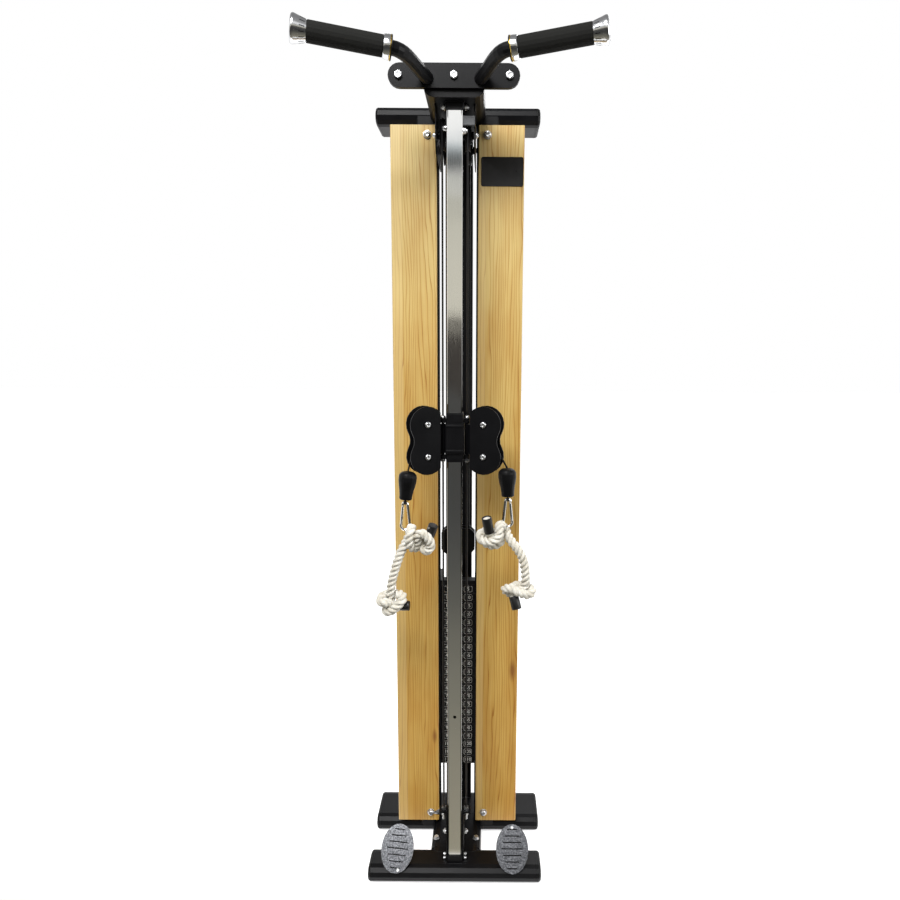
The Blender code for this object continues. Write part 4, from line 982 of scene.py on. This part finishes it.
# %% Board tab
tab = start_block("tab_model", wide=0.0200, deep=0.0022, tall=0.0220)
choose_faces(tab, lambda face: face.normal.x < -0.9)
bpy.ops.transform.resize(value=(1.0, 1.0, 0.25), center_override=(-0.0100, 0.0, -0.0060))
round_edges(tab, 0.0006)
set_piece(tab, "board_tab", move(-0.0620, 0.1487, 0.0930))
put_away(tab)
print("board tab set")

# %% [markdown]
# Welds and ropes are tubes whose thickness or direction changes at every step, which no
# operator gives, so their rings of points are set one by one. One helper sets a ring, one
# joins the rings with faces, and one turns the mesh into a finished piece.


# %% Tubes from rings
def ring_of(work, centre, side, other, radius, corners):
    """Points on a circle about the centre."""
    turns = [2.0 * math.pi * corner / corners for corner in range(corners)]
    return [work.verts.new(centre + side * (radius * math.cos(turn)) + other * (radius * math.sin(turn)))
            for turn in turns]


def skin_rings(work, rings):
    """Joins the rings into a closed tube and gives its side faces, ring by ring."""
    sides = []
    corners = len(rings[0])
    for ring, after in zip(rings, rings[1:]):
        for corner in range(corners):
            beside = (corner + 1) % corners
            face = work.faces.new((ring[corner], ring[beside], after[beside], after[corner]))
            face.smooth = True
            sides.append(face)
    work.faces.new(rings[0])
    work.faces.new(list(reversed(rings[-1])))
    return sides


def finish_tube(work, name, body, finish):
    """Turns the faces outwards and makes the piece."""
    bmesh.ops.recalc_face_normals(work, faces=work.faces)
    shape = bpy.data.meshes.new(name)
    work.to_mesh(shape)
    work.free()
    shape.materials.append(finish)
    piece = bpy.data.objects.new(name, shape)
    bpy.context.scene.collection.objects.link(piece)
    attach(piece, body)
    return piece


print("tube helpers ready")

# %% [markdown]
# Where steel meets steel there is a weld. A weld bead is a row of small overlapping pools, so
# its radius swells and shrinks once every 4 mm along the joint, under the same paint.

# %% Weld beads
RIPPLE, SWELL, WELD_STEP, WELD_CORNERS, WELD_END = 0.004, 0.16, 0.0013, 6, 0.4
POST_CUP, CHEEK_OUT, COLUMN_HALF, SPINE_BACK = 0.0236, 0.0505, 0.0385, 0.0505
UPRIGHT_EDGES = (0.0535, 0.1105)
SQUARE = ((-1.0, -1.0), (1.0, -1.0), (1.0, 1.0), (-1.0, 1.0), (-1.0, -1.0))
SPINE_PATH = ((0.0560, 0.0480), (0.0700, 0.0400), (0.0752, 0.0250))


def weld_bead(name, path, radius=0.0022):
    """A rippled bead along straight runs between the path's points."""
    path = [Vector(point) for point in path]
    stations = []
    for before, after in zip(path, path[1:]):
        count = max(2, int((after - before).length / WELD_STEP))
        stations += [before.lerp(after, step / count) for step in range(count)]
    stations.append(path[-1])
    work = bmesh.new()
    rings = []
    run, last = 0.0, len(stations) - 1
    for index, spot in enumerate(stations):
        earlier, later = stations[max(index - 1, 0)], stations[min(index + 1, last)]
        forward = (later - earlier).normalized()
        run += (spot - earlier).length
        swell = radius * (1.0 + SWELL * math.cos(2.0 * math.pi * run / RIPPLE))
        if index in (0, last):
            swell *= WELD_END
        side = forward.orthogonal().normalized()
        rings.append(ring_of(work, spot, side, forward.cross(side), swell, WELD_CORNERS))
    skin_rings(work, rings)
    return finish_tube(work, name, "frame", powder_coat)


for name, up in (("foot", 0.0497), ("head", 2.1262)):
    weld_bead(f"weld_post_{name}", [(x * POST_CUP, y * POST_CUP, up) for x, y in SQUARE])
for name, up in (("base", 0.0500), ("head", 2.1255)):
    for where, y in (("", 0.2797), ("back_", 0.3203)):
        weld_bead(f"weld_column_{where}{name}", [(-COLUMN_HALF, y, up), (COLUMN_HALF, y, up)])
    for side, sign in SIDES:
        for where, y in (("", 0.1748), ("back_", 0.2058)):
            weld_bead(f"weld_upright_{where}{name}_{side}", [(sign * x, y, up) for x in UPRIGHT_EDGES])
for side, sign in SIDES:
    weld_bead(f"weld_cheek_{side}", [(sign * CHEEK_OUT, y, 2.1257) for y in (0.0, 0.2250)])
    for where, aside in (("in", -0.0032), ("out", 0.0032)):
        x = sign * (PLATE_OUT + aside)
        weld_bead(f"weld_stay_{side}_{where}", [(x, -0.0380, 0.0462), (x, 0.0220, 0.0500)], 0.0016)
    weld_bead(f"weld_spine_{side}", [(sign * out, SPINE_BACK, up) for out, up in SPINE_PATH])
print("weld beads set")

# %% [markdown]
# The handles are short ropes of twisted cotton with an overhand knot at each end. Three
# strands lie round each other once every 42 mm, and each strand shows as a slanted ridge.
# One rope is one line: tail, upper knot, free stretch, lower knot, tail. A smooth curve runs
# through the points given for it, and points are then set along it every 2 mm.

# %% Rope lines
ROPE_RADIUS, ROPE_LAY, ROPE_STEP = 0.0127, 0.042, 0.0020


def even_line(points, spacing):
    """Smooths a line through its points and sets points along it at an even spacing."""
    dense = []
    last = len(points) - 1
    for index in range(last):
        p0, p1 = points[max(index - 1, 0)], points[index]
        p2, p3 = points[index + 1], points[min(index + 2, last)]
        for step in range(10):
            t = step / 10.0
            dense.append(0.5 * (2.0 * p1 + (p2 - p0) * t + (2.0 * p0 - 5.0 * p1 + 4.0 * p2 - p3) * t ** 2
                                + (3.0 * p1 - p0 - 3.0 * p2 + p3) * t ** 3))
    dense.append(points[last])
    even = [dense[0]]
    left = spacing
    for before, after in zip(dense, dense[1:]):
        gap = (after - before).length
        at = before
        while gap >= left and gap > 0.0:
            at = at + (after - at) * (left / gap)
            gap -= left
            left = spacing
            even.append(at)
        left -= gap
    return even


def line_frames(line):
    """Two directions square to the line at each point, carried along without twist."""
    frames = []
    side = None
    for index in range(len(line)):
        forward = (line[min(index + 1, len(line) - 1)] - line[max(index - 1, 0)]).normalized()
        if side is None:
            side = forward.cross(Vector((0.0, 1.0, 0.0))).normalized()
        side = (side - forward * side.dot(forward)).normalized()
        frames.append((side, forward.cross(side)))
    return frames


print("rope lay:", ROPE_LAY)

# %% [markdown]
# Cotton takes light softly, so the rope has a high roughness and a little sheen. The yarns
# in each strand run against the lay; they are drawn from the strand's own UV map, where U
# runs along the strand and V round it. They are about 4 mm apart, coarser than real yarn.

# %% Twisted cotton
cotton, tree, shader, place = begin_material("twisted_cotton", "DAD5C7", 0.92, {
    "Sheen Weight": 0.25, "Subsurface Weight": 0.06, "Subsurface Radius": (0.004, 0.003, 0.002)})
soil = add_node(tree, "TexNoise", {"Vector": place, "Scale": 45.0, "Detail": 3.0})
vary(shader, soil, ((0.30, "C1BBAC"), (0.66, "DFDCD3")))
own_uv = add_node(tree, "UVMap", {}, uv_map="along")
yarn_map = add_node(tree, "Mapping", {"Vector": own_uv, "Scale": (150.0, 3.0, 1.0)})
yarn = add_node(tree, "TexWave", {"Vector": yarn_map, "Scale": 1.0, "Distortion": 1.5, "Detail": 2.0},
                wave_type="BANDS", bands_direction="DIAGONAL")
fuzz = add_node(tree, "TexNoise", {"Vector": place, "Scale": 500.0, "Detail": 4.0})
yarn_relief = add_node(tree, "Math", {0: yarn.outputs["Fac"], 1: fuzz}, operation="ADD")
vary(shader, yarn_relief, relief=0.30)
print("finish:", cotton.name)

# %% [markdown]
# The sleeves on the rope ends are black heat shrink rubber: smooth, with a soft highlight.

# %% Shrunk rubber
rubber, tree, shader, place = begin_material("shrunk_rubber", "0C0C0D", 0.38)
wrinkle = add_node(tree, "TexNoise", {"Vector": place, "Scale": 160.0, "Detail": 2.0})
vary(shader, wrinkle, relief=0.20)
print("finish:", rubber.name)

# %% [markdown]
# Each strand is a round ridge that spirals about the rope's line. A strand's radius is a
# little over half the rope's, so neighbours press into each other and no gap shows.

# %% Lay the strands
STRANDS, STRAND_SIDES = 3, 10
STRAND_RADIUS, STRAND_OFFSET = ROPE_RADIUS * 0.58, ROPE_RADIUS * 0.43
FACE_CORNERS = ((0, 0), (0, 1), (1, 1), (1, 0))


def rope_piece(name, line, frames, first, last, body):
    """Three strands along one part of a line, with a UV map along each strand."""
    work = bmesh.new()
    uv = work.loops.layers.uv.new("along")
    spacing = (line[1] - line[0]).length
    for strand in range(STRANDS):
        rings = []
        for index in range(first, last + 1):
            angle = 2.0 * math.pi * (index * spacing / ROPE_LAY + strand / STRANDS)
            side, other = frames[index]
            out = side * math.cos(angle) + other * math.sin(angle)
            round_it = other * math.cos(angle) - side * math.sin(angle)
            core = line[index] + out * STRAND_OFFSET
            rings.append(ring_of(work, core, out, round_it, STRAND_RADIUS, STRAND_SIDES))
        for count, face in enumerate(skin_rings(work, rings)):
            ring, corner = divmod(count, STRAND_SIDES)
            for loop, (step, turn) in zip(face.loops, FACE_CORNERS):
                loop[uv].uv = ((first + ring + step) * spacing, (corner + turn) / STRAND_SIDES)
    return finish_tube(work, name, body, cotton)


print("strands:", STRANDS)

# %% [markdown]
# A sleeve is a cylinder over the rope's end, a little wider than the rope. Its end face is
# inset, and where white cotton shows the middle is pushed in and given the rope's finish.

# %% Rope sleeves
SLEEVE_RADIUS, SLEEVE_WALL, MOUTH_DEEP = 0.0133, 0.0022, 0.0030


def sleeve_at(name, tail, length, body, white_core):
    """A shrunk rubber sleeve on a rope's end; tail is the rope's line from that end."""
    half_way = int(length / (2.0 * ROPE_STEP))
    centre, direction = tail[half_way - 3], tail[0] - tail[2 * half_way]
    model = start_piece("sleeve_model", "cylinder", vertices=32, radius=SLEEVE_RADIUS, depth=length)
    choose_faces(model, faces_up)
    inset_rings((SLEEVE_WALL, 0.0))
    if white_core:
        inset_rings((0.0006, -MOUTH_DEEP))
    round_edges(model, 0.0016, 3, 30.0)
    mouth = [face.index for face in model.data.polygons
             if faces_up(face) and face.center.z > 0.010 and face.center.xy.length < 0.004]
    sleeve = set_piece(model, name, aim(centre, direction), body, rubber)
    put_away(model)
    if white_core:
        sleeve.data.materials.append(cotton)
        for index in mouth:
            sleeve.data.polygons[index].material_index = 1
    return sleeve


print("sleeve radius:", SLEEVE_RADIUS)

# %% [markdown]
# The points of a rope's line are in millimetres, read off the photograph pass by pass. Where
# two passes cross, the front one stands about a rope's thickness nearer to the camera. The
# left rope hangs out to the left. Its upper knot is a bight over the hook's foot with the
# tail brought round behind it; the lower knot is wide and has its tail pointing right.

# %% Left rope
ROPE_PARTS = ("upper", "free", "lower")
rope_plans = {"left": {
    "upper": (
        (-58.4, -42.0, 1055.6), (-63.9, -38.0, 1034.0), (-73.2, -36.0, 1018.2), (-85.1, -38.0, 1010.5),
        (-83.2, -46.0, 996.3), (-69.3, -53.0, 994.4), (-61.5, -57.0, 1010.6), (-69.7, -62.0, 1031.1),
        (-85.4, -62.0, 1043.1), (-96.4, -58.0, 1033.8), (-96.2, -48.0, 1013.3), (-104.8, -42.0, 997.7),
        (-114.2, -54.0, 1003.9), (-117.7, -62.0, 1022.6), (-115.1, -62.0, 1042.9), (-112.9, -49.0, 1054.9),
        (-116.9, -38.0, 1041.9), (-125.3, -36.0, 1019.3)),
    "free": (
        (-135.8, -42.0, 998.9), (-145.1, -46.0, 979.4), (-153.1, -48.0, 957.0), (-163.8, -48.0, 919.8),
        (-169.6, -47.0, 890.7)),
    "lower": (
        (-171.3, -44.0, 872.8), (-171.9, -38.0, 850.9), (-180.5, -42.0, 832.6), (-182.0, -52.0, 824.3),
        (-168.8, -60.0, 828.4), (-152.0, -64.0, 842.6), (-138.3, -59.0, 859.0), (-141.6, -48.0, 868.0),
        (-159.5, -34.0, 865.6), (-181.0, -32.0, 864.8), (-194.6, -46.0, 862.2), (-195.8, -59.0, 854.2),
        (-182.6, -63.0, 852.7), (-165.2, -45.0, 840.6), (-149.2, -44.0, 837.8), (-135.7, -44.0, 837.0),
        (-126.9, -45.0, 838.3)),
    "sleeves": (0.036, 0.030), "white": False}}
print("left rope points:", sum(len(rope_plans["left"][part]) for part in ROPE_PARTS))

# %% [markdown]
# The right rope bows outwards. It goes round the hook's foot from behind, its upper tail
# stands upright and its lower knot is flat and wide. Both of its tails show white cotton.

# %% Right rope
rope_plans["right"] = {
    "upper": (
        (86.0, -58.0, 1080.8), (90.4, -56.0, 1057.6), (93.7, -50.0, 1037.0), (92.8, -44.0, 1021.6),
        (85.7, -42.0, 1012.0), (100.4, -40.0, 1006.0), (119.1, -38.0, 1011.0), (123.1, -32.0, 1024.0),
        (105.6, -28.0, 1036.5), (84.2, -32.0, 1041.6), (69.1, -42.0, 1034.6), (74.2, -52.0, 1023.8),
        (92.3, -58.0, 1019.3), (109.4, -59.0, 1026.0), (119.3, -55.0, 1039.9), (119.0, -47.0, 1057.6),
        (125.6, -34.0, 1058.6), (137.0, -25.0, 1042.8)),
    "free": (
        (144.4, -33.0, 1027.1), (156.4, -40.0, 1011.0), (167.0, -44.0, 998.5), (180.5, -47.0, 976.4),
        (187.8, -48.0, 949.1), (190.4, -47.0, 921.1)),
    "lower": (
        (189.4, -43.0, 896.0), (173.0, -37.0, 876.9), (148.7, -38.0, 873.4), (136.9, -48.0, 886.7),
        (151.8, -60.0, 892.0), (173.1, -63.0, 883.2), (197.5, -57.0, 874.5), (208.7, -46.0, 881.8),
        (197.5, -30.0, 888.1), (173.3, -26.0, 890.4), (155.5, -32.0, 884.8), (157.3, -44.0, 875.1),
        (161.3, -50.0, 860.5), (167.1, -54.0, 838.2)),
    "sleeves": (0.044, 0.036), "white": True}
print("right rope points:", sum(len(rope_plans["right"][part]) for part in ROPE_PARTS))

# %% [markdown]
# Each rope becomes three pieces with one shared lay: two knots, which stay as they are tied,
# and the free stretch between them, which is a cord that the simulation can bend. The stretch
# starts 11 steps before the first point given for it and ends 11 steps past the last one.

# %% The rope handles
INTO_KNOT, TAIL_POINTS = 11, 30


def nearest_point(line, spot):
    """The number of the line's point that lies nearest to the spot."""
    return min(range(len(line)), key=lambda index: (line[index] - spot).length)


for side, plan in rope_plans.items():
    body = f"handle_{side}"
    upper, free, lower = ([Vector(point) / 1000.0 for point in plan[part]] for part in ROPE_PARTS)
    line = even_line(upper + free + lower, ROPE_STEP)
    frames = line_frames(line)
    first = nearest_point(line, free[0]) - INTO_KNOT
    last = nearest_point(line, free[-1]) + INTO_KNOT
    knots = [rope_piece(f"upper_knot_{side}", line, frames, 0, first, body),
             rope_piece(f"lower_knot_{side}", line, frames, last, len(line) - 1, body)]
    stretch = rope_piece(f"rope_stretch_{side}", line, frames, first, last, body)
    sleeves = [sleeve_at(f"{name}_sleeve_{side}", tail[:TAIL_POINTS], length, body, plan["white"])
               for name, tail, length in zip(("upper", "lower"), (line, line[::-1]), plan["sleeves"])]
    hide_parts(f"rope_handle_{side}")
    run = line[first:last + 1]
